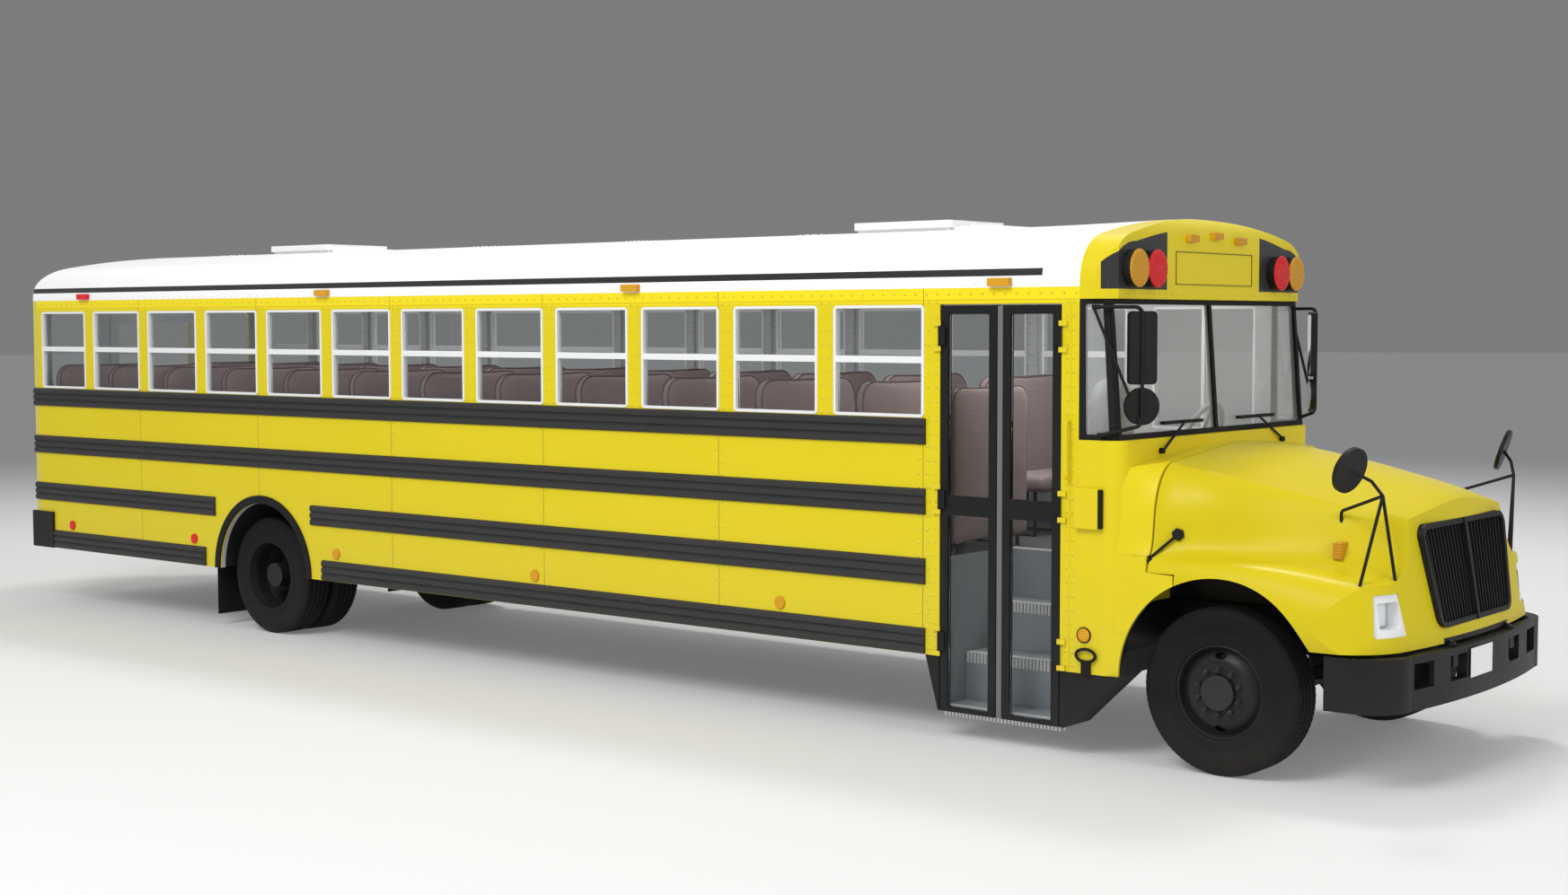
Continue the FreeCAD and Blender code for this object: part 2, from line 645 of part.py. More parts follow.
def nose_section(section, x, lean, pull, base):
    """Closed wire across the nose: two flanks that meet the top in a crease, shrunk by pull."""
    side, fender, valley, flank, shoulder, crease, crown = section
    flank_points = [
        (side[0] + 4 - pull, base), (side[0] - pull, side[1] - 0.2 * pull),
        (fender[0] - 0.8 * pull, fender[1] - 0.7 * pull), (valley[0] - 0.6 * pull, valley[1] - 0.8 * pull),
        (flank[0] - pull, flank[1]), (shoulder[0] - 0.97 * pull, shoulder[1] - 0.25 * pull),
        (crease[0] - 0.9 * pull, crease[1] - 0.95 * pull),
    ]
    ridge = (crease[0] * 0.5, crown[1] - (crown[1] - crease[1]) * 0.36 - pull)
    top_points = [flank_points[-1], ridge, (0, crown[1] - pull)]
    top_points += [(-y, z) for y, z in reversed(top_points[:-1])]
    curves = []
    for points in (flank_points, top_points, [(-y, z) for y, z in reversed(flank_points)]):
        curve = Part.BSplineCurve()
        curve.interpolate([Vector(x - lean * (z - v.hood_base_z), y, z) for y, z in points])
        curves.append(curve.toShape())
    ends = [curves[-1].Vertexes[-1].Point, curves[0].Vertexes[0].Point]
    return Part.Wire([*curves, Part.LineSegment(*ends).toShape()])


def hood_form(inset):
    """Solid nose: sections lofted from the hood's rear edge to the raked grille face, shrunk by inset."""
    base = v.hood_base_z if inset == 0 else v.hood_base_z - 60
    rear, long = v.cowl_front, nose_x - v.cowl_front
    first = (v.hood_rear - 15 - rear) / long
    # Sections of the nose lean back with the grille face towards the front.
    stations = [(first, 0), (0.22, 0), (0.40, 0), (0.58, 0), (0.76, 0), (0.90, 0), (0.965, 14), (0.993, 45)]
    wires = []
    for share, shrink in stations:
        lean = v.nose_rake * max(0.0, min(1.0, (share - 0.3) / 0.5))
        x = rear + long * share - (inset if share > 0.95 else 0)
        wires.append(nose_section(hood_half(share), x, lean, inset + shrink, base))
    return Part.makeLoft(wires, True, False)


def fairing_form(inset):
    """Fixed fairing that carries the hood's rear section back to the full width of the cowl."""
    base = v.hood_base_z if inset == 0 else v.hood_base_z - 60
    back = v.cowl_front - 40
    wide = [(1200, 1010), (1194, 1130), (1188, 1215), (1184, 1450), (1178, 1600), (1150, 1662), (0, 1765)]
    wires = [
        nose_section(wide, back, 0, inset, base),
        nose_section(hood_half(0), v.hood_rear - v.hood_gap, 0, inset, base),
    ]
    return Part.makeLoft(wires, True, True)


def nose_plan(inset):
    """Bowed outline of the nose seen from above, leaning back with the grille face."""
    x, w = nose_x - inset, half - inset
    rear = v.cowl_front - 200
    outline = [
        (rear, -w - 100), (x - 430, -w - 100), (x - 430, -w), (x - 72, -w + 330, x - 185, -w + 110),
        (x - 72, w - 330, x, 0), (x - 430, w, x - 185, w - 110), (x - 430, w + 100), (rear, w + 100),
    ]
    low, high = v.hood_base_z, roof_z
    return slab_xy(outline, low - 100, high, v.nose_rake)


def grille_outline(grow=0.0):
    """Grille opening in its raked plane: wider at the top, with rounded corners."""
    top, base = v.grille_half_top + grow, v.grille_half_base + grow
    z1, z0 = v.grille_top_z + grow, v.grille_base_z - grow
    r = 70 + grow
    k = r * 0.3
    return [
        (-base + r, z0), (base - r, z0), (base + r * 0.2, z0 + r, base - k * 0.6, z0 + k),
        (top, z1 - r), (top - r, z1, top - k, z1 - k), (-top + r, z1),
        (-top, z1 - r, -top + k, z1 - k), (-base - r * 0.2, z0 + r), (-base + r, z0, -base + k * 0.6, z0 + k),
    ]


def nose_x_at(z, inset=0.0):
    return nose_x - inset - v.nose_rake * (z - v.hood_base_z)


def raked(points, depth0, depth1):
    """Solid with an outline drawn in the grille's raked plane, between two depths behind the nose."""
    start = face(points, lambda a, b: Vector(nose_x_at(b) - depth1, a, b))
    return start.extrude(Vector(depth1 - depth0, 0, 0))


def hood():
    """Tilting nose: hood and both fenders in one shell, with grille opening, lamp pockets and arches."""
    shell = hood_form(0).common(nose_plan(0)).cut(hood_form(v.hood_sheet).common(nose_plan(v.hood_sheet * 1.6)))
    shell = shell.cut(box(v.cowl_front - 10, v.hood_rear, -half - 9, half + 9, 0, roof_z))
    shell = shell.cut(raked(grille_outline(), -60, 160))
    for solid in both(lamp_pocket(6)):
        shell = shell.cut(solid)
    shell = shell.cut(rod_y(v.front_axle_x, v.skirt_z, -half - 50, half + 50, v.arch_radius))
    # The fixed fender root takes the corner behind the arch.
    corner = box(v.hood_rear - 1, v.hood_rear + 160 + v.hood_gap, v.engine_wide, half + 50, v.skirt_z, 1096)
    shell = shell.cut(corner).cut(mirrored(corner))
    largest = max(shell.Solids, key=lambda s: s.Volume)
    x, z, y = hood_pin_x, v.hood_pin_z, v.hood_pin_y
    neck = slab_xz([(x - 12, z - 12), (x + 12, z + 12), (x - 50, z + 40), (x - 78, z + 60), (x - 78, z + 20)],
                   y - 10, y + 10)
    ear = neck.fuse(rod_y(x, z, y - 10, y + 10, 2 * v.pin_radius))
    ear = ear.cut(rod_y(x, z, y - 11, y + 11, v.pin_radius + v.bearing_gap))
    return keep_shape("hood", fuse(largest, *both(ear)))


def lamp_pocket(grow=0.0):
    """Block that cuts the pocket for one headlamp out of the nose's corner."""
    w, h = v.lamp_wide / 2 + grow, v.lamp_high / 2 + grow
    y, z = v.lamp_y, v.lamp_z
    outline = [
        (y - w, z - h), (y + w * 0.92, z - h), (y + w, z - h + 20), (y + w * 0.8, z + h), (y - w * 0.72, z + h),
    ]
    return slab_yz(outline, nose_x - 330, nose_x + 40)


def grille():
    """Black grille: surround, centre bar and upright slats set into the raked opening."""
    gap = v.seam_gap * 3
    outer = raked(grille_outline(-gap), 13, 58)
    frame = outer.cut(raked(grille_outline(-gap - v.grille_rim), 0, 70))
    bars = [raked([(-14, v.grille_base_z), (14, v.grille_base_z), (14, v.grille_top_z), (-14, v.grille_top_z)], 6, 46)]
    count = int(v.grille_slats)
    for i in range(count):
        share = (i + 0.5) / count * 2 - 1
        top, low = share * v.grille_half_top, share * v.grille_half_base
        bars.append(raked([
            (low - 5, v.grille_base_z), (low + 5, v.grille_base_z), (top + 5, v.grille_top_z), (top - 5, v.grille_top_z),
        ], 24, 50))
    inside = raked(grille_outline(-gap - 1), -10, 70)
    return keep_shape("grille", fuse(frame, *[b.common(inside) for b in bars]))


def headlamps():
    """Pale housings in the nose corners, each dished round a square lamp."""
    gap = v.seam_gap
    block = lamp_pocket(6 - gap)
    shape = block.common(hood_form(0)).common(nose_plan(8))
    dish = slab_yz(
        rounded(v.lamp_y - 84, v.lamp_y + 72, v.lamp_z - 70, v.lamp_z + 70, 14), nose_x - 235, nose_x + 50
    )
    lens = slab_yz(
        rounded(v.lamp_y - 74, v.lamp_y + 62, v.lamp_z - 62, v.lamp_z + 62, 12), nose_x - 236, nose_x - 200
    )
    solid = max(shape.Solids, key=lambda s: s.Volume)
    return keep_shape("headlamps", *both(fuse(solid.cut(dish), lens)))


# Windows and doors


def window_frames():
    """White frames of the split-sash windows, one ring with its middle bar in each opening."""
    t, gap = v.wall, v.seam_gap
    rings = []
    for x in window_stations():
        x0, x1 = x + gap, x + v.window_width - gap
        z0, z1 = v.window_sill_z + gap, v.window_head_z - gap
        outer = rounded(x0, x1, z0, z1, v.window_corner)
        low = square(x0 + v.sash_rim, x1 - v.sash_rim, z0 + v.sash_rim, v.sash_bar_z)
        high = square(x0 + v.sash_rim, x1 - v.sash_rim, v.sash_bar_z + v.sash_bar, z1 - v.sash_rim)
        y0, y1 = half - t + 4, half + 4
        ring = slab_xz(outer, y0, y1).cut(slab_xz(low, y0 - 1, y1 + 1)).cut(slab_xz(high, y0 - 1, y1 + 1))
        rings += both(ring)
    x0, x1 = v.driver_window_x + gap, v.driver_window_x + v.driver_window_long - gap
    z0, z1 = v.driver_sill_z + gap, v.window_head_z - gap
    middle = (x0 + x1) / 2
    y0, y1 = half - t + 4, half + 4
    ring = slab_xz(rounded(x0, x1, z0, z1, v.window_corner), y0, y1)
    for a, b in ((x0 + v.sash_rim, middle - 12), (middle + 12, x1 - v.sash_rim)):
        ring = ring.cut(slab_xz(square(a, b, z0 + v.sash_rim, z1 - v.sash_rim), y0 - 1, y1 + 1))
    rings.append(ring)
    return keep_shape("window_frames", *rings)


def side_glass():
    """Panes of the side windows, the driver's window and the rear side windows."""
    gap, rim = v.seam_gap, v.sash_rim
    y0 = half - v.wall / 2 - v.glass
    y1 = y0 + v.glass
    panes = []
    for x in window_stations():
        x0, x1 = x + rim + 2 * gap, x + v.window_width - rim - 2 * gap
        low = slab_xz(square(x0, x1, v.window_sill_z + rim + 2 * gap, v.sash_bar_z - gap), y0, y1)
        top_z = v.window_head_z - rim - 2 * gap
        high = slab_xz(square(x0, x1, v.sash_bar_z + v.sash_bar + gap, top_z), y0, y1)
        panes += both(low) + both(high)
    x0, x1 = v.driver_window_x + gap, v.driver_window_x + v.driver_window_long - gap
    middle = (x0 + x1) / 2
    z0, z1 = v.driver_sill_z + rim + 2 * gap, v.window_head_z - rim - 2 * gap
    for a, b in ((x0 + rim + gap, middle - 12 - gap), (middle + 12 + gap, x1 - rim - gap)):
        panes.append(slab_xz(square(a, b, z0, z1), y0, y1))
    for side in (-1, 1):
        a, b = side * v.rear_window_in, side * (v.rear_window_in + v.rear_window_width)
        outline = rounded(
            min(a, b) + gap, max(a, b) - gap, v.window_sill_z + gap, v.window_head_z - gap, v.window_corner * 2
        )
        panes.append(slab_yz(outline, v.wall / 2 - v.glass / 2, v.wall / 2 + v.glass / 2))
    return keep_shape("side_glass", *panes)


def screen_plane(z, forward=0.0):
    """Station of the raked windshield plane at a height."""
    share = (z - v.screen_base_z) / (v.screen_top_z - v.screen_base_z)
    return v.screen_base_x + (v.screen_top_x - v.screen_base_x) * share + forward


def screen_panel(y0, y1, z0, z1, back, front):
    """Block that follows the windshield's rake between two depths."""
    corners = [
        (screen_plane(z0, back), z0), (screen_plane(z0, front), z0),
        (screen_plane(z1, front), z1), (screen_plane(z1, back), z1),
    ]
    return slab_xz(corners, y0, y1)


def quarter_panel(z0, z1, rear_share, front_share, depth0, depth1):
    """Slanted corner block between the left body side and the windshield, between two depths."""
    def ring(z):
        long = screen_plane(z, -6) - v.body_front - v.seam_gap
        corners = []
        for share, depth in ((rear_share, depth0), (front_share, depth0), (front_share, depth1), (rear_share, depth1)):
            y = half - depth - (half - 4 - v.screen_half) * share
            corners.append(Vector(v.body_front + v.seam_gap + long * share, y, z))
        return Part.makePolygon(corners + corners[:1])

    return Part.makeLoft([ring(z0), ring(z1)], True, True)


def windshield_frame():
    """Black rubber frame: two flat panes with a centre bar, and a slanted corner light at each side."""
    bar, z0, z1, h = v.screen_bar, v.screen_base_z, v.screen_top_z, v.screen_half
    low, high = z0 - bar / 2, z1 + bar / 2 - v.seam_gap
    parts = [screen_panel(-h, h, low, high, -30, 6)]
    for y0, y1 in ((-h + bar, -bar / 2), (bar / 2, h - bar)):
        parts[0] = parts[0].cut(screen_panel(y0, y1, z0 + bar / 2, z1 - bar / 2, -60, 60))
    corner = quarter_panel(low, high, 0.0, 1.0, 0, bar + 4)
    corner = corner.cut(quarter_panel(z0 + bar / 2, z1 - bar / 2, 0.16, 0.8, -30, 60))
    parts += both(corner)
    return keep_shape("windshield_frame", fuse(*parts), *wipers())


def windshield_glass():
    bar, z0, z1, h, gap = v.screen_bar, v.screen_base_z, v.screen_top_z, v.screen_half, v.seam_gap
    panes = []
    low, high = z0 + bar / 2 + gap, z1 - bar / 2 - gap
    panes += both(screen_panel(bar / 2 + gap, h - bar - gap, low, high, -18, -18 + v.glass))
    panes += both(quarter_panel(low, high, 0.163, 0.797, 14, 14 + v.glass))
    return keep_shape("windshield_glass", *panes)


def wipers():
    """Two wipers parked low on the glass, with their pivots on the cowl."""
    solids = []
    z0 = v.screen_base_z - 88
    for y, tip_y in ((-770, -470), (770, 470)):
        pivot = Vector(v.cowl_front + 20, y, z0)
        tip = Vector(screen_plane(1905, 46), tip_y, 1905)
        base = rod_x(y, z0, v.cowl_front + v.seam_gap, v.cowl_front + 26, 17)
        arm = Part.makeCylinder(7, (tip - pivot).Length, pivot, tip - pivot)
        blade = box(screen_plane(1905, 8), screen_plane(1905, 44), tip_y - 230, tip_y + 230, 1893, 1911)
        solids.append(fuse(base, arm, blade))
    return solids


def leaf(label, x0, x1, hinge_x):
    """Entrance door leaf: four frame members and a middle bar round two glass openings."""
    y1 = -half + v.door_thick
    y0 = -half
    z0, z1 = v.door_sill_z, v.door_head_z - v.door_gap
    rim = v.door_rim
    shape = slab_xz([(x0, z0), (x1, z0), (x1, z1), (x0, z1)], y0, y1)
    for low, high in ((z0 + 25, v.door_bar_z), (v.door_bar_z + v.door_bar, z1 - rim)):
        shape = shape.cut(slab_xz(rounded(x0 + rim, x1 - rim, low, high, 10), y0 - 1, y1 + 1))
    pin_y = -half - v.hinge_out
    inward = 1 if hinge_x < (x0 + x1) / 2 else -1
    for z in hinge_heights(z0, z1):
        barrel = rod_z(hinge_x, pin_y, z - 60, z + 60, v.hinge_radius)
        strap_x = hinge_x + inward * 40
        strap = box(min(hinge_x, strap_x), max(hinge_x, strap_x), pin_y - 4, -half, z - 55, z + 55)
        shape = fuse(shape, barrel, strap)
    return keep_shape(label, shape)


def leaf_glass(label, x0, x1):
    y0 = -half + v.door_thick / 2
    z0, z1 = v.door_sill_z, v.door_head_z - v.door_gap
    rim, gap = v.door_rim, v.seam_gap
    panes = []
    for low, high in ((z0 + 25, v.door_bar_z), (v.door_bar_z + v.door_bar, z1 - rim)):
        panes.append(slab_xz(rounded(x0 + rim + gap, x1 - rim - gap, low + gap, high - gap, 10), y0, y0 + v.glass))
    return keep_shape(label, *panes)


def entrance_doors():
    rear_x0 = v.door_rear + v.door_gap
    front_x1 = v.door_front - v.door_gap
    rear_x1 = v.door_split - v.door_seal / 2 - 5
    front_x0 = v.door_split + v.door_seal / 2
    leaf("door_rear_leaf", rear_x0, rear_x1, v.door_rear + 4)
    leaf_glass("door_rear_glass", rear_x0, rear_x1)
    leaf("door_front_leaf", front_x0, front_x1, v.door_front - 4)
    leaf_glass("door_front_glass", front_x0, front_x1)
    seal = box(front_x0 - v.door_seal, front_x0 - v.seam_gap, -half + 4, -half + 30,
               v.door_sill_z + 5, v.door_head_z - v.door_gap - 5)
    keep_shape("door_seal", seal)


def emergency_exit():
    """Rear exit door with its two panes, hinges on the right-hand edge and a handle."""
    w, gap, r = v.exit_width / 2 - v.door_gap, v.seam_gap, v.window_corner * 2 - 6
    z0, z1 = v.exit_sill_z + v.door_gap, v.exit_head_z - v.door_gap
    t = v.wall
    door = slab_yz(rounded(-w, w, z0, z1, r), 0, t)
    openings = [
        rounded(-w + 90, w - 90, v.exit_window_z, z1 - 80, 30),
        rounded(-w + 90, w - 90, z0 + 130, v.exit_window_z - 160, 30),
    ]
    panes = []
    for outline in openings:
        door = door.cut(slab_yz(outline, -1, t + 1))
    for a, b in ((v.exit_window_z, z1 - 80), (z0 + 130, v.exit_window_z - 160)):
        panes.append(slab_yz(
            rounded(-w + 90 + gap, w - 90 - gap, a + gap, b - gap, 30), t / 2 - v.glass / 2, t / 2 + v.glass / 2
        ))
    pin_y = -v.exit_width / 2 - 6
    for z in hinge_heights(z0, z1):
        barrel = rod_z(-v.hinge_out, pin_y, z - 60, z + 60, v.hinge_radius)
        strap = box(-v.hinge_out - 4, 0, pin_y, pin_y + 60, z - 55, z + 55)
        door = fuse(door, barrel, strap)
    handle_z = v.exit_window_z - 80
    door = fuse(door, box(-26, 0, w - 70, w - 40, handle_z - 20, handle_z + 20),
                box(-38, -22, w - 190, w - 40, handle_z - 12, handle_z + 12))
    keep_shape("emergency_door", door)
    keep_shape("emergency_glass", *panes)


def stepwell():
    """Three steps up from the entrance, with side panels that reach the door sill."""
    gap, t = v.seam_gap, v.step_sheet
    outer = -half + v.wall
    x0, x1 = v.door_rear - t, v.door_front + t
    y = [outer, outer + v.step_run, outer + 2 * v.step_run, outer + 3 * v.step_run]
    z = [v.step_low_z, v.step_mid_z, v.step_high_z, v.floor_z]
    stairs = [
        (y[0], z[0] - t), (y[1] + t, z[0] - t), (y[1] + t, z[1] - t), (y[2] + t, z[1] - t),
        (y[2] + t, z[2] - t), (y[3] - gap, z[2] - t), (y[3] - gap, z[3]), (y[3] - t, z[3]), (y[3] - t, z[2]),
        (y[2], z[2]), (y[2], z[1]), (y[1], z[1]), (y[1], z[0]), (y[0], z[0]),
    ]
    steps = slab_yz(stairs, v.door_rear - 0.5, v.door_front + 0.5)
    cheek = [
        (y[0], z[0] - t), (y[1] + t, z[0] - t), (y[1] + t, z[1] - t), (y[2] + t, z[1] - t), (y[2] + t, z[2] - t),
        (y[3] - gap, z[2] - t), (y[3] - gap, z[3]), (y[0], z[3]),
    ]
    return keep_shape("stepwell", fuse(steps, slab_yz(cheek, x0, v.door_rear), slab_yz(cheek, v.door_front, x1)))


def step_skirt():
    """Black panels that close the side of the stepwell below the wall, sloping up ahead and behind."""
    top, low = v.skirt_z - v.seam_gap, v.door_sill_z
    y0, y1 = -half, -half + v.wall
    rear = slab_xz([
        (v.door_rear - v.step_sheet - 82, top), (v.door_rear, top), (v.door_rear, low), (v.door_rear - 10, low),
    ], y0, y1)
    front_low = v.door_front + 30
    front = slab_xz([
        (v.door_front, top), (v.door_front, low), (front_low, low), (v.cowl_front - 15, top),
    ], y0, y1)
    # Sloping underside ahead of the steps, running inboard to the riser.
    slope = slab_xz([
        (v.door_front + 30, low), (v.cowl_front - 15, top), (v.cowl_front - 35, top), (v.door_front + 30, low + 24),
    ], y1, y1 + v.step_run)
    return keep_shape("step_skirt", rear, fuse(front, slope))


def rub_rails():
    """Black ribbed rails along both sides, broken at the rear wheels and the entrance."""
    def profile(z0):
        d, h, gap = v.rail_deep, v.rail_high, v.seam_gap
        y = half + gap
        points = [(y, z0)]
        ribs = 3
        for i in range(ribs):
            low = z0 + h * i / ribs
            step = h / ribs
            points += [
                (y + d * 0.45, low + step * 0.02), (y + d, low + step * 0.22),
                (y + d, low + step * 0.72), (y + d * 0.45, low + step * 0.95),
            ]
        return points + [(y, z0 + h)]

    arch = v.rear_arch_radius + v.arch_trim
    x = v.rear_axle_x
    spans = [
        [(v.rear_bumper_wrap + 6, x - arch - 130), (x + arch + 140, None)],
        [(2, x - arch + 8), (x + arch + 8, None)],
        [(2, None)],
        [(2, None)],
    ]
    solids = []
    for row, parts in enumerate(spans):
        z0 = v.rail_first_z + row * v.rail_pitch
        for x0, x1 in parts:
            left_end = v.body_front - 50 if row < 3 else v.stop_hinge_x - 75
            left = slab_yz(profile(z0), x0, left_end if x1 is None else x1)
            right = mirrored(slab_yz(profile(z0), x0, v.rail_end if x1 is None else x1))
            solids += [left, right]
    return keep_shape("rub_rails", *solids)


def arch_trims():
    """Flat black trims round the rear arches and the flaps behind the twin wheels."""
    x, z, gap = v.rear_axle_x, v.skirt_z, v.seam_gap
    r0, r1 = v.rear_arch_radius, v.rear_arch_radius + v.arch_trim
    ring = [(x - r1, z), (x + r1, z), (x - r1, z, x, z + r1)]
    hole = [(x - r0, z - 1), (x + r0, z - 1), (x - r0, z - 1, x, z - 1 + r0)]
    y0 = half + gap
    trim = slab_xz(ring, y0, y0 + 14).cut(slab_xz(hole, y0 - 1, y0 + 20))
    flap_x = x - v.rear_arch_radius - 100
    flap = box(flap_x - 8, flap_x, v.track_half - v.twin_pitch - v.tyre_width / 2, half - v.wall - gap, 100, z + 150)
    return keep_shape("arch_trims", *both(trim), *both(flap))


# Bumpers and chassis


def front_bumper():
    """Deep wrap-round bumper, hollow behind, with four slots in its face."""
    x, h, t = bumper_x, v.bumper_half, v.bumper_sheet
    z0, z1 = v.bumper_base_z, v.bumper_top_z

    def plan(inset):
        f, w = x - inset, h - inset
        return [
            (x - 450, -w), (f - 240, -w), (f - 72, -w + 250, f - 120, -w + 90), (f - 72, w - 250, f, 0),
            (f - 240, w, f - 120, w - 90), (x - 450, w),
        ]

    shell = slab_xy(plan(0), z0, z1)
    inner = slab_xy([(a - (5 if i in (0, 5) else 0), b, *r) for i, (a, b, *r) in enumerate(plan(t))], z0 - 1, z1 - t)
    shell = shell.cut(inner)
    for y in (-790, -410, 410, 790):
        shell = shell.cut(box(x - 160, x + 10, y - 100, y + 100, 552, 690))
    top_cut = slab_xy([
        (x - 460, -h + t), (x - 265, -h + t), (x - 105, -h + 250), (x - 105, h - 250), (x - 265, h - t), (x - 460, h - t),
    ], z1 - t - 1, z1 + 1)
    shell = shell.cut(top_cut)
    bar = box(x - 68, x - t + 2, -h + 260, h - 260, 540, 700)
    for y in (-790, -410, 410, 790):
        bar = bar.cut(box(x - 70, x + 10, y - 100, y + 100, 552, 690))
    shell = fuse(shell, bar.common(slab_xy(plan(2), z0, z1)))
    y, w = v.hood_pin_y, 42
    for side in (-1, 1):
        shell = shell.cut(box(x - 110, x - v.bumper_notch, side * y - w, side * y + w, 500, z1 + 1))
    return keep_shape("front_bumper", max(shell.Solids, key=lambda s: s.Volume))


def rear_bumper():
    x, t, h = v.rear_bumper_x, v.bumper_sheet / 2, half + 22
    z0, z1 = v.skirt_z, v.rear_bumper_top_z
    outer = [(v.rear_bumper_wrap, -h), (x, -h), (x, h), (v.rear_bumper_wrap, h)]
    gap = v.seam_gap
    h2 = half + gap
    inner = [(v.rear_bumper_wrap + 1, -h2), (-gap, -h2), (-gap, h2), (v.rear_bumper_wrap + 1, h2)]
    return keep_shape("rear_bumper", slab_xy(outer, z0, z1).cut(slab_xy(inner, z0 - 1, z1 + 1)))


def frame_rails():
    """Ladder frame: two channels joined by cross members, with horns that carry the hood's hinge pins."""
    z0, z1 = v.frame_z, v.frame_z + v.frame_high
    y, f, t = v.frame_half, v.frame_flange, v.frame_web
    channel = [
        (y, z0), (y, z1), (y - f, z1), (y - f, z1 - t), (y - t, z1 - t), (y - t, z0 + t), (y - f, z0 + t), (y - f, z0),
    ]
    front = v.engine_x + v.engine_long + 340
    rails = both(slab_yz(channel, v.wall + v.seam_gap, front))
    stations = [700, 2250, 4300, 6100, 8000, 9800]
    inside = y - t - v.seam_gap
    cross = [box(s - 40, s + 40, -inside, inside, z1 - 60, z1 - t - v.seam_gap) for s in stations]
    px, pz, py = hood_pin_x, v.hood_pin_z, v.hood_pin_y
    horn = box(front - 40, px - 75, py - 35, y, z0 + 20, z1 - 115)
    horn = horn.fuse(box(px - 76, bumper_x - v.bumper_notch - v.seam_gap, py - 32, py + 32, z0 + 20, z0 + 100))
    cheek = slab_xz([
        (px - 76, z0 + 20), (px - 12, z0 + 20), (px + 14, pz), (px, pz + 14), (px - 16, pz), (px - 44, z0 + 100), (px - 76, z0 + 100),
    ], py + 13, py + 32)
    near = cheek.copy()
    near.translate(Vector(0, -45, 0))
    pin = rod_y(px, pz, py - 32, py + 32, v.pin_radius)
    horn = fuse(horn, cheek, near, pin)
    sides = [fuse(rail, front_part) for rail, front_part in zip(rails, both(horn))]
    return keep_shape("frame_rails", *sides, *cross)


def leaf_spring(x, z, long):
    """Bowed stack of leaves with its two hangers, at the left rail."""
    y0, y1 = v.spring_y - 38, v.spring_y + 38
    top = v.frame_z
    h = long / 2
    bow = [(x - h, top - 10), (x + h, top - 10, x, z), (x + h, top - 34), (x - h, top - 34, x, z - 62)]
    leaves = slab_xz(bow, y0, y1)
    hangers = [box(x + s * h - 30, x + s * h + 30, v.frame_half + v.seam_gap, y1, top - 40, top + 90) for s in (-1, 1)]
    return fuse(leaves, *hangers)


def front_axle():
    """Forged beam with a boss for each kingpin, on two leaf springs."""
    x, z, ky = v.front_axle_x, v.tyre_radius, v.king_y
    beam = box(x - 45, x + 45, -ky + 60, ky - 60, z - 110, z - 30)
    arms = []
    for side in (-1, 1):
        arm = slab_yz([
            (side * (ky - 170), z - 110), (side * (ky - 60), z - 52), (side * (ky - 20), z - 52), (side * (ky - 20), z + 50),
            (side * (ky - 60), z + 50), (side * (ky - 190), z - 30),
        ], x - 40, x + 40)
        boss = rod_z(x, side * ky, z - 55, z + 55, 45)
        hole = rod_z(x, side * ky, z - 60, z + 60, 22 + v.bearing_gap)
        arms.append(arm.fuse(boss).cut(hole))
    springs = both(leaf_spring(x, z + 60, 1250))
    pads = both(box(x - 60, x + 60, v.spring_y - 38, v.spring_y + 38, z - 40, z + 30))
    return keep_shape("front_axle", fuse(beam, *arms, *springs, *pads))


def knuckle(label, side):
    """Steering knuckle: two ears on the kingpin, a plate and the wheel spindle."""
    x, z, ky = v.front_axle_x, v.tyre_radius, v.king_y
    upper = rod_z(x, ky, z + 60, z + 105, 42).fuse(box(x - 40, x + 40, ky, ky + 70, z + 60, z + 105))
    lower = rod_z(x, ky, z - 105, z - 60, 42).fuse(box(x - 40, x + 40, ky, ky + 70, z - 105, z - 60))
    pin = rod_z(x, ky, z - 105, z + 105, 22)
    plate = box(x - 62, x + 62, ky + 53, ky + 80, z - 105, z + 105)
    spindle = rod_y(x, z, ky + 70, v.track_half + 60, v.spindle_radius)
    shape = fuse(upper, lower, pin, plate, spindle)
    return keep_shape(label, shape if side > 0 else mirrored(shape))


def rear_axle():
    """Rear axle housing with its differential, tubes, springs and the shaft to the gearbox."""
    x, z = v.rear_axle_x, v.tyre_radius
    tube_end = v.track_half - v.twin_pitch - v.tyre_width / 2 - 10
    housing = rod_y(x, z, -tube_end, tube_end, 78)
    diff = Part.makeSphere(190, Vector(x, 0, z))
    nose = rod_x(0, z, x, x + 330, 85)
    spindle_end = v.track_half + 60
    spindles = rod_y(x, z, -spindle_end, spindle_end, v.spindle_radius)
    springs = both(leaf_spring(x, z + 100, 1350))
    pads = both(box(x - 70, x + 70, v.spring_y - 38, v.spring_y + 38, z - 20, z + 80))
    return keep_shape("rear_axle", fuse(housing, diff, nose, spindles, *springs, *pads), driveshaft())


def driveshaft():
    """Shaft from the rear axle to the gearbox, with its centre bearing on the frame."""
    gap = v.seam_gap
    x0, x1 = v.rear_axle_x + 330 + gap, v.engine_x - v.gearbox_long - gap
    z0, z1 = v.tyre_radius, v.engine_base_z + 100
    start, end = Vector(x0 + 10, 0, z0), Vector(x1 - 10, 0, z1)
    shaft = Part.makeCylinder(52, (end - start).Length, start, end - start)
    flanges = [rod_x(0, z0, x0, x0 + 40, 80), rod_x(0, z1, x1 - 40, x1, 80)]
    centre = start + (end - start) * 0.5
    bearing = rod_x(0, centre.z, centre.x - 40, centre.x + 40, 90)
    reach = v.frame_half - v.frame_web - gap
    bracket = box(centre.x - 25, centre.x + 25, -reach, reach, centre.z + 20, centre.z + 80)
    return fuse(shaft, *flanges, bearing, bracket)


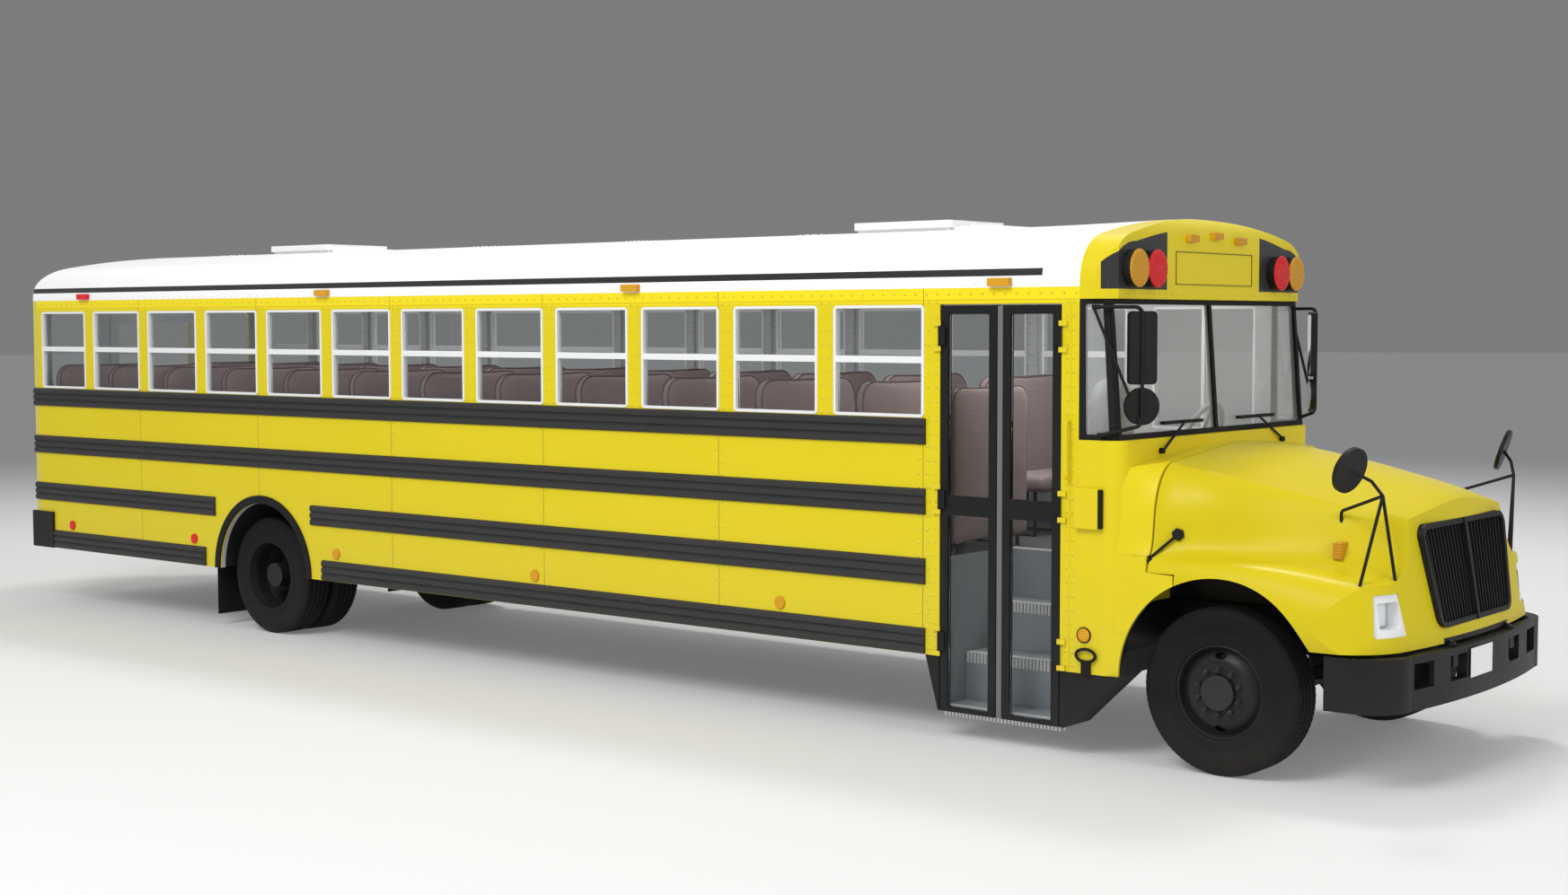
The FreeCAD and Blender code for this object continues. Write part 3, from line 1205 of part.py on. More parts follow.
def engine():
    """Engine and gearbox as one plain block at their real place, with the radiator ahead of them."""
    x, w, h, z, gap = v.engine_x, v.engine_wide, v.engine_high, v.engine_base_z, v.seam_gap
    block = box(x, x + v.engine_long, -w / 2, w / 2, z, z + h)
    gearbox = box(x - v.gearbox_long, x, -190, 190, z + 20, z + 370)
    reach = v.frame_half - v.frame_web - gap
    feet = box(x + 350, x + 450, -reach, reach, z + 40, z + 100)
    return keep_shape("engine", fuse(block, gearbox, feet))


def radiator():
    """Radiator core and side tanks standing on the frame rails."""
    x = v.engine_x + v.engine_long + 130
    z0 = v.frame_z + v.frame_high + v.seam_gap
    core = box(x, x + 90, -400, 400, z0, z0 + 500)
    tanks = [box(x - 10, x + 100, y - 25, y + 25, z0, z0 + 500) for y in (-415, 415)]
    return keep_shape("radiator", fuse(core, *tanks))


def exhaust():
    """Pipe from the engine under the right rail, with a muffler and a tail pipe over the rear axle."""
    y, z, r, inner = -v.frame_half - 130, v.frame_z - 55, 45, -280
    start = (v.engine_x + 70, -240, v.engine_base_z - v.seam_gap)
    front = tube([start, (start[0], -240, z), (start[0] - 300, -240, z), (start[0] - 450, y, z), (6290, y, z)], r, 90)
    muffler = rod_x(y, z, 5200, 6300, 115)
    over = z + 110
    tail = tube([
        (5210, y, z), (4250, y, z), (4080, inner, z), (3850, inner, over), (2700, inner, over), (2450, inner, z),
        (2280, y, z), (1500, y, z), (1200, y, z - 115), (-60, y, z - 115),
    ], r, 90)
    hangers = [box(s - 20, s + 20, y - 10, -v.frame_half - v.seam_gap, z + 60, z + 150) for s in (5400, 6100)]
    return keep_shape("exhaust", fuse(muffler, front, tail, *hangers))


def fuel_tank():
    """Fuel tank hung on the left frame rail in two straps."""
    x, w, h = v.tank_x, v.tank_wide, v.tank_high
    y0 = v.frame_half + 20
    z0 = v.frame_z + v.frame_high - h - 40
    tank = slab_yz(rounded(y0, y0 + w, z0, z0 + h, 90), x, x + v.tank_long)
    straps = []
    for s in (0.2, 0.8):
        sx = x + v.tank_long * s
        band = slab_yz(rounded(y0 - 8, y0 + w + 8, z0 - 8, z0 + h + 8, 98), sx - 25, sx + 25)
        bracket = box(sx - 25, sx + 25, v.frame_half + v.seam_gap, y0, z0 + 60, z0 + h - 60)
        straps += [band, bracket]
    return keep_shape("fuel_tank", fuse(tank, *straps))


# Wheels


def tyre_profile(centre):
    """Tyre section beside the axle: bead, sidewall, shoulder and tread, as (radius, across)."""
    w, r, b = v.tyre_width / 2, v.tyre_radius, v.rim_radius
    side = [(b, 0.8 * w), (b + 16, 0.86 * w), (b + 95, w), (r - 38, 0.97 * w), (r - 10, 0.84 * w), (r, 0.76 * w)]
    return [(p, centre + q) for p, q in side] + [(p, centre - q) for p, q in reversed(side)]


def tyre(label, x, centres):
    """One tyre or a pair of twins, turned round the axle."""
    body = new_body(label)
    base = min(centres)
    sketch = sketch_on(body, "XY_Plane", "Section", [tyre_profile(0)])
    revolve(body, sketch)
    doc.recompute()
    shape = body.Shape
    if len(centres) == 1:
        body.Placement = Placement(Vector(x, centres[0], v.tyre_radius), Rotation())
        return keep(body, label)
    copies = []
    for y in centres:
        one = shape.copy()
        one.Placement = Placement(Vector(x, y, v.tyre_radius), Rotation())
        copies.append(one)
    doc.removeObject(body.Name)
    return keep_shape(label, *copies)


def rim_section():
    """Section of a drop-centre rim as (radius, across): two flanges, the bead seats and the well."""
    w, b, t = v.tyre_width / 2 * 0.86 + 1.5, v.rim_radius, 9
    return [
        (b + 12, -w - t), (b + 12, -w), (b - v.seam_gap, -w + 4), (b - v.seam_gap, -0.7 * w), (b - 20, -0.5 * w),
        (b - 20, 0.5 * w), (b - v.seam_gap, 0.7 * w), (b - v.seam_gap, w - 4), (b + 12, w), (b + 12, w + t),
        (b - 14, w + t), (b - 31, 0.52 * w), (b - 31, -0.52 * w), (b - 14, -w - t),
    ]


def wheel(label, side, x, centres, twin):
    """Rim or twin rims with hand holes, studs, hub and brake drum, all turning on the spindle."""
    z = v.tyre_radius
    hub_bore = v.spindle_radius + v.bearing_gap
    solids = []
    outer = centres[0]
    for y in centres:
        ring_face = face(rim_section(), lambda a, b: Vector(a, b, 0))
        ring = ring_face.revolve(Vector(0, 0, 0), Vector(0, 1, 0), 360)
        ring.translate(Vector(x, y, z))
        solids.append(ring)
    mount_y = outer + 62 if not twin else outer - v.twin_pitch / 2
    discs = []
    shapes = [(outer, 1)] if not twin else [(outer, -1), (centres[1], 1)]
    for y, way in shapes:
        plate_y = (outer + 55) if not twin else mount_y + (0 if y == outer else -14)
        rim_y = y + way * 30 if not twin else y - (30 if y == outer else -30)
        slope = [
            (v.rim_radius - 26, rim_y + 6), (v.rim_radius - 26, rim_y - 6), (205, plate_y - 7), (hub_bore + 20, plate_y - 7),
            (hub_bore + 20, plate_y + 7), (205, plate_y + 7),
        ]
        disc = face(slope, lambda a, b: Vector(a, b, 0)).revolve(Vector(0, 0, 0), Vector(0, 1, 0), 360)
        disc.translate(Vector(x, 0, z))
        for k in range(5):
            angle = 2 * math.pi * (k + 0.5) / 5
            hole = rod_y(x + 228 * math.cos(angle), z + 228 * math.sin(angle), y - 260, y + 260, 22)
            disc = disc.cut(hole)
        discs.append(disc)
    plate_y = (outer + 55) if not twin else mount_y
    studs = []
    for k in range(10):
        angle = 2 * math.pi * k / 10
        a, b = x + 143 * math.cos(angle), z + 143 * math.sin(angle)
        corners = [math.pi * i / 3 for i in range(6)]
        studs.append(slab_xz([(a + 14 * math.cos(c), b + 14 * math.sin(c)) for c in corners], plate_y, plate_y + 30))
    hub_end = v.track_half + 78
    hub = rod_y(x, z, plate_y - 100, hub_end, 96)
    drum_in = v.king_y + 95 if not twin else v.track_half - v.twin_pitch - 60
    drum = rod_y(x, z, drum_in, plate_y - 6, v.drum_radius).cut(
        rod_y(x, z, drum_in - 1, plate_y - 22, v.drum_radius - 16)
    )
    solids += discs + studs + [hub, drum]
    shape = fuse(*solids)
    bore = rod_y(x, z, 0, v.track_half + 60 + v.seam_gap, hub_bore)
    shape = shape.cut(bore)
    return keep_shape(label, shape if side > 0 else mirrored(shape))


# Inside


def seat_outline(x):
    """Side view of a bench seat facing forward: cushion, leaning back and pedestal."""
    top, sit, low, t = v.seat_top_z, v.seat_cushion_z, v.floor_z + v.seam_gap, v.seat_back
    return [
        (x + 60, low), (x + 330, low), (x + 330, sit - 130), (x + 452, sit - 130),
        (x + 480, sit - 65, x + 474, sit - 110), (x + 445, sit, x + 474, sit - 22), (x + t + 12, sit),
        (x + 30, top - 40), (x - 10, top, x + 20, top - 10), (x - 52, top - 45, x - 42, top - 10), (x, sit - 130),
        (x + 60, sit - 130),
    ]


def passenger_seats():
    side = half - v.wall - 12
    seats = []
    for x in window_stations():
        start = x + 150
        seats += both(slab_xz(seat_outline(start), side - v.seat_width, side))
    return keep_shape("passenger_seats", *seats)


def driver_seat():
    """Driver's seat with a rounded high back on a pedestal."""
    x, y, low = 9990, 560, v.floor_z + v.seam_gap
    cushion = slab_xy(rounded(x, x + 480, y - 250, y + 250, 60), low + 300, low + 420)
    back_profile = [
        (y - 235, low + 330), (y + 235, low + 330), (y + 235, low + 850),
        (y - 235, low + 850, y, low + 1075),
    ]
    back = slab_yz(back_profile, x - 60, x + 60)
    stand = box(x + 90, x + 360, y - 150, y + 150, low, low + 310)
    return keep_shape("driver_seat", fuse(cushion, back, stand))


def dashboard():
    """Dashboard under the windshield with the steering column and wheel."""
    gap = v.seam_gap
    y0, y1 = -500, half - v.cowl_corner - 10
    low = v.floor_z + 420
    top = v.screen_base_z - 60
    x1 = v.cowl_front - v.cowl_sheet - gap
    body = slab_xz([
        (x1, low), (x1, top - 30), (x1 - 60, top), (x1 - 230, top), (x1 - 290, top - 60), (x1 - 270, low + 80), (x1 - 200, low),
    ], y0, y1)
    hub = Vector(x1 - 420, 560, top - 20)
    root = Vector(x1 - 150, 560, low + 140)
    column = Part.makeCylinder(32, (root - hub).Length, hub, root - hub)
    ring = Part.makeTorus(225, 15, hub, root - hub)
    spokes = []
    axis = (root - hub).normalize()
    side = axis.cross(Vector(0, 1, 0)).normalize()
    for way in (Vector(0, 1, 0), Vector(0, -1, 0), side):
        spokes.append(Part.makeCylinder(10, 225, hub, way))
    console = box(x1 - 120, x1, y0, y1, v.floor_z + gap, low + 5)
    return keep_shape("dashboard", fuse(body, console, column, ring, *spokes))


# Lamps, mirrors and fittings


def round_lamp(y, z, x, way):
    """Warning lamp facing along way: a shallow cone behind a domed lens."""
    base = Part.makeCylinder(v.warning_radius, 38, Vector(x, y, z), Vector(way, 0, 0))
    lens = Part.makeCylinder(v.warning_radius - 6, 14, Vector(x + way * 38, y, z), Vector(way, 0, 0))
    return base.fuse(lens)


def marker(x, y, z, facing):
    """Small clearance lamp on the roof edge or the cap."""
    if facing == "side":
        side = 1 if y > 0 else -1
        y0, y1 = (y, y + 34) if side > 0 else (y - 34, y)
        return box(x - 75, x + 75, y0, y1, z - 24, z + 24)
    x0, x1 = (x, x + 30) if facing == "front" else (x - 30, x)
    return box(x0, x1, y - 55, y + 55, z - 20, z + 20)


def reflector(x, z):
    return rod_y(x, z, half + v.seam_gap, half + 12, 40)


def amber_lamps():
    """Amber warning lamps, markers and side reflectors."""
    front = v.cap_front + v.seam_gap
    solids = []
    for y in (-v.warning_out, v.warning_out):
        solids.append(round_lamp(y, v.warning_z, front, 1))
        solids.append(round_lamp(y, v.warning_z - 20, -v.seam_gap, -1))
    for y, z in ((0, 3006), (-305, 2984), (305, 2984)):
        solids.append(marker(front, y, z - 10, "front"))
    for x in (4094, 7348, 10282):
        solids += [marker(x, side * (half + v.seam_gap), 2715, "side") for side in (-1, 1)]
    for x in (4210, 6399, 8628):
        solids += both(reflector(x, 710))
    return keep_shape("amber_lamps", *solids)


def red_lamps():
    """Red warning lamps, rear markers, tail lamps and rear reflectors."""
    front = v.cap_front + v.seam_gap
    solids = []
    for y in (-v.warning_in, v.warning_in):
        solids.append(round_lamp(y, v.warning_z, front, 1))
        solids.append(round_lamp(y, v.warning_z - 20, -v.seam_gap, -1))
    solids += [marker(820, side * (half + v.seam_gap), 2715, "side") for side in (-1, 1)]
    for x in (565, 2371):
        solids += both(reflector(x, 710))
    for side in (-1, 1):
        for y, r in ((900, 92), (690, 55)):
            solids.append(Part.makeCylinder(r, 30, Vector(-v.seam_gap, side * y, 1180), Vector(-1, 0, 0)))
    return keep_shape("red_lamps", *solids)


def side_mirrors():
    """Flat and convex mirrors on a looped tube at each front corner."""
    x, y, r = v.mirror_x, v.mirror_y, v.mirror_tube
    top, low, out = 2568, 1905, half + 18
    high_x, low_x = v.screen_top_x - 62, v.screen_base_x - 80
    loop = tube([(high_x, out, top), (x, y, top), (x, y, low), (low_x, out, low - 55)], r, 45)
    strut = tube([(high_x, out, top - 8), (x - 6, y + 6, low + 10)], r - 2)
    feet = []
    for foot_x, z in ((high_x, top), (low_x, low - 55)):
        share = (foot_x - 16 - v.body_front) / (screen_plane(z, -6) - v.body_front)
        face_y = half + v.seam_gap - (half - 4 - v.screen_half) * share
        feet.append(box(foot_x - 16, foot_x + 12, face_y, out, z - 14, z + 14))
    flat = slab_yz(rounded(y - 95, y + 75, 2135, 2545, 28), x - 40, x - 4)
    flat = flat.fuse(Part.makeCylinder(105, 30, Vector(x - 40, y - 10, 2012), Vector(1, 0, 0)))
    flat.rotate(Vector(x, y, 0), Vector(0, 0, 1), 33)
    return keep_shape("side_mirrors", *both(fuse(loop, strut, *flat.Solids, *feet)))


def hood_mirrors():
    """Crossview mirrors on tripods that stand on the hood and fenders."""
    x = nose_x
    knot = (x - 191, 953, 1571)
    r = 9
    disc_centre = Vector(x - 311, 1100, 1710)
    way = Vector(-0.9, -0.2, 0.3).normalize()
    disc = Part.makeCylinder(125, 24, disc_centre - way * 12, way)
    arm = tube([knot, (x - 230, 1010, 1650), tuple(disc_centre)], r, 20)
    feet = [
        tube([knot, (x - 496, 785, 1462), (x - 510, 740, 1300)], r, 40), tube([knot, (x - 278, 1110, 960)], r),
        tube([knot, (x - 151, 810, 965)], r),
    ]
    legs = fuse(disc, arm, *feet).cut(hood_form(-v.seam_gap).common(nose_plan(-v.seam_gap)))
    return keep_shape("hood_mirrors", *both(max(legs.Solids, key=lambda s: s.Volume)))


def turn_signals():
    """Amber turn signal set on the hood's flank above each fender."""
    x = nose_x - 496
    block = box(x, x + 50, 700, 885, 1212, 1300)
    lamp = block.cut(hood_form(-v.seam_gap))
    return keep_shape("turn_signals", *both(max(lamp.Solids, key=lambda s: s.CenterOfMass.y)))


def roof_hatch(label, x):
    """Emergency hatch lid on its curb, with the hinge barrel at its front edge."""
    x1, w, z = x + v.hatch_long, v.hatch_wide / 2, roof_z + v.hatch_curb + v.seam_gap
    lid = slab_xy(rounded(x, x1, -w, w, 45), z, z + v.hatch_lid)
    pin_x, pin_z = hatch_pin(x)
    tab = box(x1 - 5, pin_x, -80, 80, pin_z - 5, pin_z + 5)
    lid = fuse(lid, tab, rod_y(pin_x, pin_z, -80, 80, 10))
    return keep_shape(label, lid.cut(rod_y(pin_x, pin_z, -81, 81, 5 + v.bearing_gap)))


def hatch_pin(x):
    """Station and height of the hinge pin of the hatch whose rear edge is at x."""
    return x + v.hatch_long + v.hatch_pin, roof_z + v.hatch_curb + v.seam_gap + v.hatch_lid / 2


def hatch_hinge(x):
    """Fixed pin and two ears that stand on the plinth ahead of a hatch."""
    pin_x, pin_z = hatch_pin(x)
    z = roof_z + v.hatch_plinth + v.seam_gap
    ears = []
    for y in (-100, 84):
        ears.append(box(pin_x - 8, pin_x + 8, y, y + 16, z, pin_z).fuse(rod_y(pin_x, pin_z, y, y + 16, 9)))
    return fuse(rod_y(pin_x, pin_z, -100, 100, 5), *ears)


def stop_arm():
    """Eight-sided stop plate folded flat against the left side, hinged at its front edge."""
    r = v.stop_size / 2 / math.cos(math.pi / 8)
    hinge_x, z, gap = v.stop_hinge_x, v.stop_z, v.seam_gap
    centre = hinge_x - 60 - v.stop_size / 2
    y0 = half + v.rail_deep + 12
    turn = [math.pi / 8 + k * math.pi / 4 for k in range(8)]
    plate = slab_xz([(centre + r * math.cos(a), z + r * math.sin(a)) for a in turn], y0, y0 + 6)
    arms = [box(hinge_x - 130, hinge_x, y0 - 4, y0 + 10, h - 15, h + 15) for h in (z - 80, z + 80)]
    barrel = rod_z(hinge_x, y0 + 3, z - 100, z + 100, 11)
    bore = rod_z(hinge_x, y0 + 3, z - 101, z + 101, 5 + v.bearing_gap)
    keep_shape("stop_arm", fuse(plate, *arms, barrel).cut(bore))
    mount = box(hinge_x + 20, hinge_x + 75, half + gap, y0 - 4, z - 126, z + 126)
    ears = [box(hinge_x - 14, hinge_x + 21, half + gap, y0 + 14, h - 12, h + 12) for h in (z - 114, z + 114)]
    pin = rod_z(hinge_x, y0 + 3, z - 114, z + 114, 5)
    keep_shape("stop_arm_base", fuse(mount, *ears, pin))


def hinges():
    """Fixed knuckles and pins that carry the two entrance leaves and the rear exit door."""
    r, gap, low_z, high_z = v.hinge_radius, v.seam_gap, v.door_sill_z, v.door_head_z - v.door_gap
    solids = []
    pin_y = -half - v.hinge_out
    for x, way in ((v.door_rear + 4, -1), (v.door_front - 4, 1)):
        for z in hinge_heights(low_z, high_z):
            if z - 90 < v.skirt_z:
                continue
            for z0 in (z - 90, z + 60 + gap):
                knuckle_part = rod_z(x, pin_y, z0, z0 + 30 - gap, r)
                far = x + way * 45
                strap = box(min(x, far), max(x, far), pin_y - 4, -half - gap, z0, z0 + 30 - gap)
                solids.append(knuckle_part.fuse(strap))
    x, pin_y = -v.hinge_out, -v.exit_width / 2 - 6
    z0, z1 = v.exit_sill_z + v.door_gap, v.exit_head_z - v.door_gap
    for z in hinge_heights(z0, z1):
        for low in (z - 90, z + 60 + gap):
            knuckle_part = rod_z(x, pin_y, low, low + 30 - gap, r)
            strap = box(x - 4, -gap, pin_y - 50, pin_y, low, low + 30 - gap)
            solids.append(knuckle_part.fuse(strap))
    solids += [hatch_hinge(x) for x in (v.hatch_rear_x, v.hatch_front_x)]
    return keep_shape("hinges", *solids)


def hinge_heights(low, high):
    return [low + 420, (low + high) / 2 + 60, high - 180]


def grab_rail():
    """Hand rail beside the entrance."""
    y = -half - 46
    rail = tube([(10752, -half - v.seam_gap, 1925), (10752, y, 1925), (10752, y, 1600), (10752, -half - v.seam_gap, 1600)], 10, 22)
    return keep_shape("grab_rail", rail)


def build():
    side_wall("side_wall_right", -1)
    side_wall("side_wall_left", 1)
    roof()
    front_cap()
    rear_wall()
    floor()
    wheel_wells()
    cowl()
    hood()
    grille()
    headlamps()
    window_frames()
    side_glass()
    windshield_frame()
    windshield_glass()
    entrance_doors()
    emergency_exit()
    stepwell()
    step_skirt()
    rub_rails()
    arch_trims()
    front_bumper()
    rear_bumper()
    frame_rails()
    front_axle()
    knuckle("knuckle_right", -1)
    knuckle("knuckle_left", 1)
    rear_axle()
    engine()
    radiator()
    exhaust()
    fuel_tank()
    outer, inner = v.track_half, v.track_half - v.twin_pitch
    for name, side in (("right", -1), ("left", 1)):
        tyre(f"tyre_front_{name}", v.front_axle_x, [side * outer])
        tyre(f"tyres_rear_{name}", v.rear_axle_x, [side * outer, side * inner])
        wheel(f"wheel_front_{name}", side, v.front_axle_x, [outer], False)
        wheel(f"wheels_rear_{name}", side, v.rear_axle_x, [outer, inner], True)
    passenger_seats()
    driver_seat()
    dashboard()
    amber_lamps()
    red_lamps()
    side_mirrors()
    hood_mirrors()
    turn_signals()
    roof_hatch("hatch_rear", v.hatch_rear_x)
    roof_hatch("hatch_front", v.hatch_front_x)
    stop_arm()
    hinges()
    grab_rail()


def write_parts():
    """Check every object and sub-part, then write one STEP file for each."""
    doc.recompute()
    for obj in doc.Objects:
        if "Invalid" in obj.State or "Error" in obj.State:
            raise RuntimeError(f"{obj.Label} failed: {obj.State}")
    for obj in pieces:
        if obj.Shape.isNull() or not obj.Shape.isValid():
            raise RuntimeError(f"{obj.Label} has no valid shape")
    os.makedirs("parts", exist_ok=True)
    for obj in pieces:
        obj.Shape.exportStep(f"parts/{obj.Label}.step")
    print(len(pieces), "sub-parts written")


build()
write_parts()
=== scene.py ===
import math
import bpy
import bmesh
from mathutils import Matrix, Vector


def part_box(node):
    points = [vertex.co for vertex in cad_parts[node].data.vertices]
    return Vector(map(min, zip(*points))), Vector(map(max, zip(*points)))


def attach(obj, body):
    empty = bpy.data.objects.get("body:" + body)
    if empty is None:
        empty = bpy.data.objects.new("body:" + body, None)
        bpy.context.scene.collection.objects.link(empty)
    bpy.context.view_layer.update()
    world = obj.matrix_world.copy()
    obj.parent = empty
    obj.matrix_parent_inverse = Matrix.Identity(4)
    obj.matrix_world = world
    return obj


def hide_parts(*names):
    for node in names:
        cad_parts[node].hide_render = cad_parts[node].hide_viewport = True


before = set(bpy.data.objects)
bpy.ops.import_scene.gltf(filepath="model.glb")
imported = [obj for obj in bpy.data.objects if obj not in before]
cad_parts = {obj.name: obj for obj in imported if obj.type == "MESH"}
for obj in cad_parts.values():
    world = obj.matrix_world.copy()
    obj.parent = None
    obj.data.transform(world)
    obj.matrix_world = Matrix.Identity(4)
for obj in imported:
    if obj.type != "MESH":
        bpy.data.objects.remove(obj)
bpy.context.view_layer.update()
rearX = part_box("rear_wall")[0][0]  # stations are measured forward from this face, in metres
materials = {}
print("frame loaded:", len(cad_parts), "nodes")


def at(station, y, z):
    return Vector((rearX + station, y, z))


# small tools


def circle(count):
    # points of a unit circle
    return [(math.cos(2 * math.pi * k / count), math.sin(2 * math.pi * k / count)) for k in range(count)]


def linked(name, data):
    obj = bpy.data.objects.new(name, data)
    bpy.context.scene.collection.objects.link(obj)
    return obj


def meshObject(name, verts, faces, material=None, edges=()):
    mesh = bpy.data.meshes.new(name)
    mesh.from_pydata([tuple(v) for v in verts], edges, faces)
    mesh.validate()
    if material:
        mesh.materials.append(materials[material])
    return linked(name, mesh)


def merged(parts):
    # one vertex and face list from several
    verts, faces = [], []
    for partVerts, partFaces in parts:
        start = len(verts)
        verts += [tuple(v) for v in partVerts]
        faces += [tuple(i + start for i in f) for f in partFaces]
    return verts, faces


def joined(name, parts, material=None):
    return meshObject(name, *merged(parts), material)


def tidyNormals(obj):
    work = bmesh.new()
    work.from_mesh(obj.data)
    bmesh.ops.remove_doubles(work, verts=work.verts, dist=0.00001)
    bmesh.ops.recalc_face_normals(work, faces=work.faces)
    work.to_mesh(obj.data)
    work.free()
    return obj


def shaped(name, parts, material=None):
    return tidyNormals(joined(name, parts, material))


def smoothed(obj, sharpAngle=None):
    obj.data.polygons.foreach_set("use_smooth", [True] * len(obj.data.polygons))
    if sharpAngle:
        obj.data.set_sharp_from_angle(angle=math.radians(sharpAngle))


def settle(obj):
    # turns live modifiers into plain mesh
    graph = bpy.context.evaluated_depsgraph_get()
    mesh = bpy.data.meshes.new_from_object(obj.evaluated_get(graph))
    obj.modifiers.clear()
    obj.data = mesh


def cutAway(obj, tool):
    modifier = obj.modifiers.new("cut", "BOOLEAN")
    modifier.operation = "DIFFERENCE"
    modifier.solver = "EXACT"
    modifier.object = tool
    settle(obj)
    bpy.data.objects.remove(tool)


def bevelled(obj, width):
    modifier = obj.modifiers.new("edge", "BEVEL")
    modifier.width = width
    modifier.segments = 2
    modifier.limit_method = "ANGLE"
    settle(obj)


def boxPart(low, high):
    xs, ys, zs = (sorted(pair) for pair in zip(low, high))
    verts = [(x, y, z) for x in xs for y in ys for z in zs]
    faces = [(0, 1, 3, 2), (4, 6, 7, 5), (0, 4, 5, 1), (2, 3, 7, 6), (0, 2, 6, 4), (1, 5, 7, 3)]
    return verts, faces


def skinPart(rows, closed=False, capped=True):
    # faces round rows of points; closed runs the last row back into the first
    count = len(rows[0])
    verts = [p for row in rows for p in row]
    faces = []
    for i in range(len(rows) if closed else len(rows) - 1):
        here, ahead = i * count, (i + 1) % len(rows) * count
        for k in range(count):
            n = (k + 1) % count
            faces.append((here + k, here + n, ahead + n, ahead + k))
    if capped and not closed:
        faces += [tuple(reversed(range(count))), tuple(range(len(verts) - count, len(verts)))]
    return verts, faces


def tubePart(points, radius, sides=8):
    # round bar along a line of points, closed at both ends
    points = [Vector(p) for p in points]
    rows = []
    side = None
    for i, p in enumerate(points):
        ahead = (points[min(i + 1, len(points) - 1)] - points[max(i - 1, 0)]).normalized()
        if side is None:
            side = ahead.orthogonal().normalized()
        side = (side - ahead * side.dot(ahead)).normalized()
        over = ahead.cross(side)
        rows.append([p + side * (radius * a) + over * (radius * b) for a, b in circle(sides)])
    return skinPart(rows)


def lathePart(section, centre, axis="Y", count=48, side=1, ring=False):
    # section holds (radius, across) points from one end of the axis to the other; a ring is open inside
    rows = []
    for radius, across in section:
        out = across * side
        if axis == "Y":
            offsets = [(radius * a, out, radius * b) for a, b in circle(count)]
        else:
            offsets = [(out, radius * a, radius * b) for a, b in circle(count)]
        rows.append([Vector(centre) + Vector(offset) for offset in offsets])
    return skinPart(rows, closed=ring)


# shader groups and materials


def feed(tree, target, value):
    # sets an input to a plain value, or links it to a node's output
    if isinstance(value, Value):
        value = value.socket
    if isinstance(value, (int, float, tuple)):
        target.default_value = value
    else:
        tree.links.new(value, target)


def put(tree, kind, inputs=None, **settings):
    made = tree.nodes.new(kind)
    for key, value in settings.items():
        setattr(made, key, value)
    for key, value in (inputs or {}).items():
        feed(tree, made.inputs[key], value)
    return made.outputs


class Value:
    # a number inside a node tree; sums and comparisons with it add the matching nodes

    def __init__(self, tree, socket):
        self.tree = tree
        self.socket = socket

    def maths(self, operation, other=0.0, clamp=False):
        made = put(self.tree, "ShaderNodeMath", {0: self, 1: other}, operation=operation, use_clamp=clamp)
        return Value(self.tree, made[0])

    def pick(self, low, high):
        # the colour low where the value is 0, high where it is 1
        return put(self.tree, "ShaderNodeMix", {0: self, 6: low, 7: high}, data_type="RGBA")[2]

    def __add__(self, other):
        return self.maths("ADD", other)

    def __sub__(self, other):
        return self.maths("SUBTRACT", other)

    def __mul__(self, other):
        return self.maths("MULTIPLY", other)

    def __truediv__(self, other):
        return self.maths("DIVIDE", other)

    def __pow__(self, other):
        return self.maths("POWER", other)

    def __lt__(self, other):
        return self.maths("LESS_THAN", other)

    def __gt__(self, other):
        return self.maths("GREATER_THAN", other)

    def __abs__(self):
        return self.maths("ABSOLUTE")


def byName(tree, sockets):
    return {socket.name: Value(tree, socket) for socket in sockets}


def noise(tree, spot, scale, detail):
    settings = {"Vector": spot, "Scale": scale, "Detail": detail}
    return Value(tree, put(tree, "ShaderNodeTexNoise", settings)[0])


def axes(tree, vector):
    return [Value(tree, socket) for socket in put(tree, "ShaderNodeSeparateXYZ", {0: vector})]


def objectSpot(tree):
    return put(tree, "ShaderNodeTexCoord")["Object"]


def objectAxes(tree):
    return axes(tree, objectSpot(tree))


def facing(tree):
    return axes(tree, put(tree, "ShaderNodeNewGeometry")["True Normal"])


def shaderGroup(name, inputs):
    tree = bpy.data.node_groups.new(name, "ShaderNodeTree")
    for label, value in inputs.items():
        kind = "NodeSocketColor" if isinstance(value, tuple) else "NodeSocketFloat"
        tree.interface.new_socket(label, in_out="INPUT", socket_type=kind).default_value = value
    return tree, byName(tree, tree.nodes.new("NodeGroupInput").outputs)


def handOut(tree, results):
    kinds = {"Color": "NodeSocketColor", "Normal": "NodeSocketVector"}
    for label in results:
        tree.interface.new_socket(label, in_out="OUTPUT", socket_type=kinds.get(label, "NodeSocketFloat"))
    out = tree.nodes.new("NodeGroupOutput").inputs
    for label, value in results.items():
        feed(tree, out[label], value)
    return tree


def toneGroup():
    # slow and fine variation of a colour, with a matching roughness spread
    tree, given = shaderGroup("paintTone", {
        "Color": (0.5, 0.5, 0.5, 1), "Mottle": 0.06, "Scale": 1.5, "Roughness": 0.4, "Spread": 0.1})
    spot = objectSpot(tree)
    centred = noise(tree, spot, given["Scale"], 3.0) * 0.75 + noise(tree, spot, 90.0, 2.0) * 0.25 - 0.5
    gain = centred * given["Mottle"] + 1.0
    scaled = put(tree, "ShaderNodeVectorMath", {0: given["Color"], "Scale": gain}, operation="SCALE")[0]
    rough = (centred * given["Spread"]).maths("ADD", given["Roughness"], clamp=True)
    return handOut(tree, {"Color": scaled, "Roughness": rough})


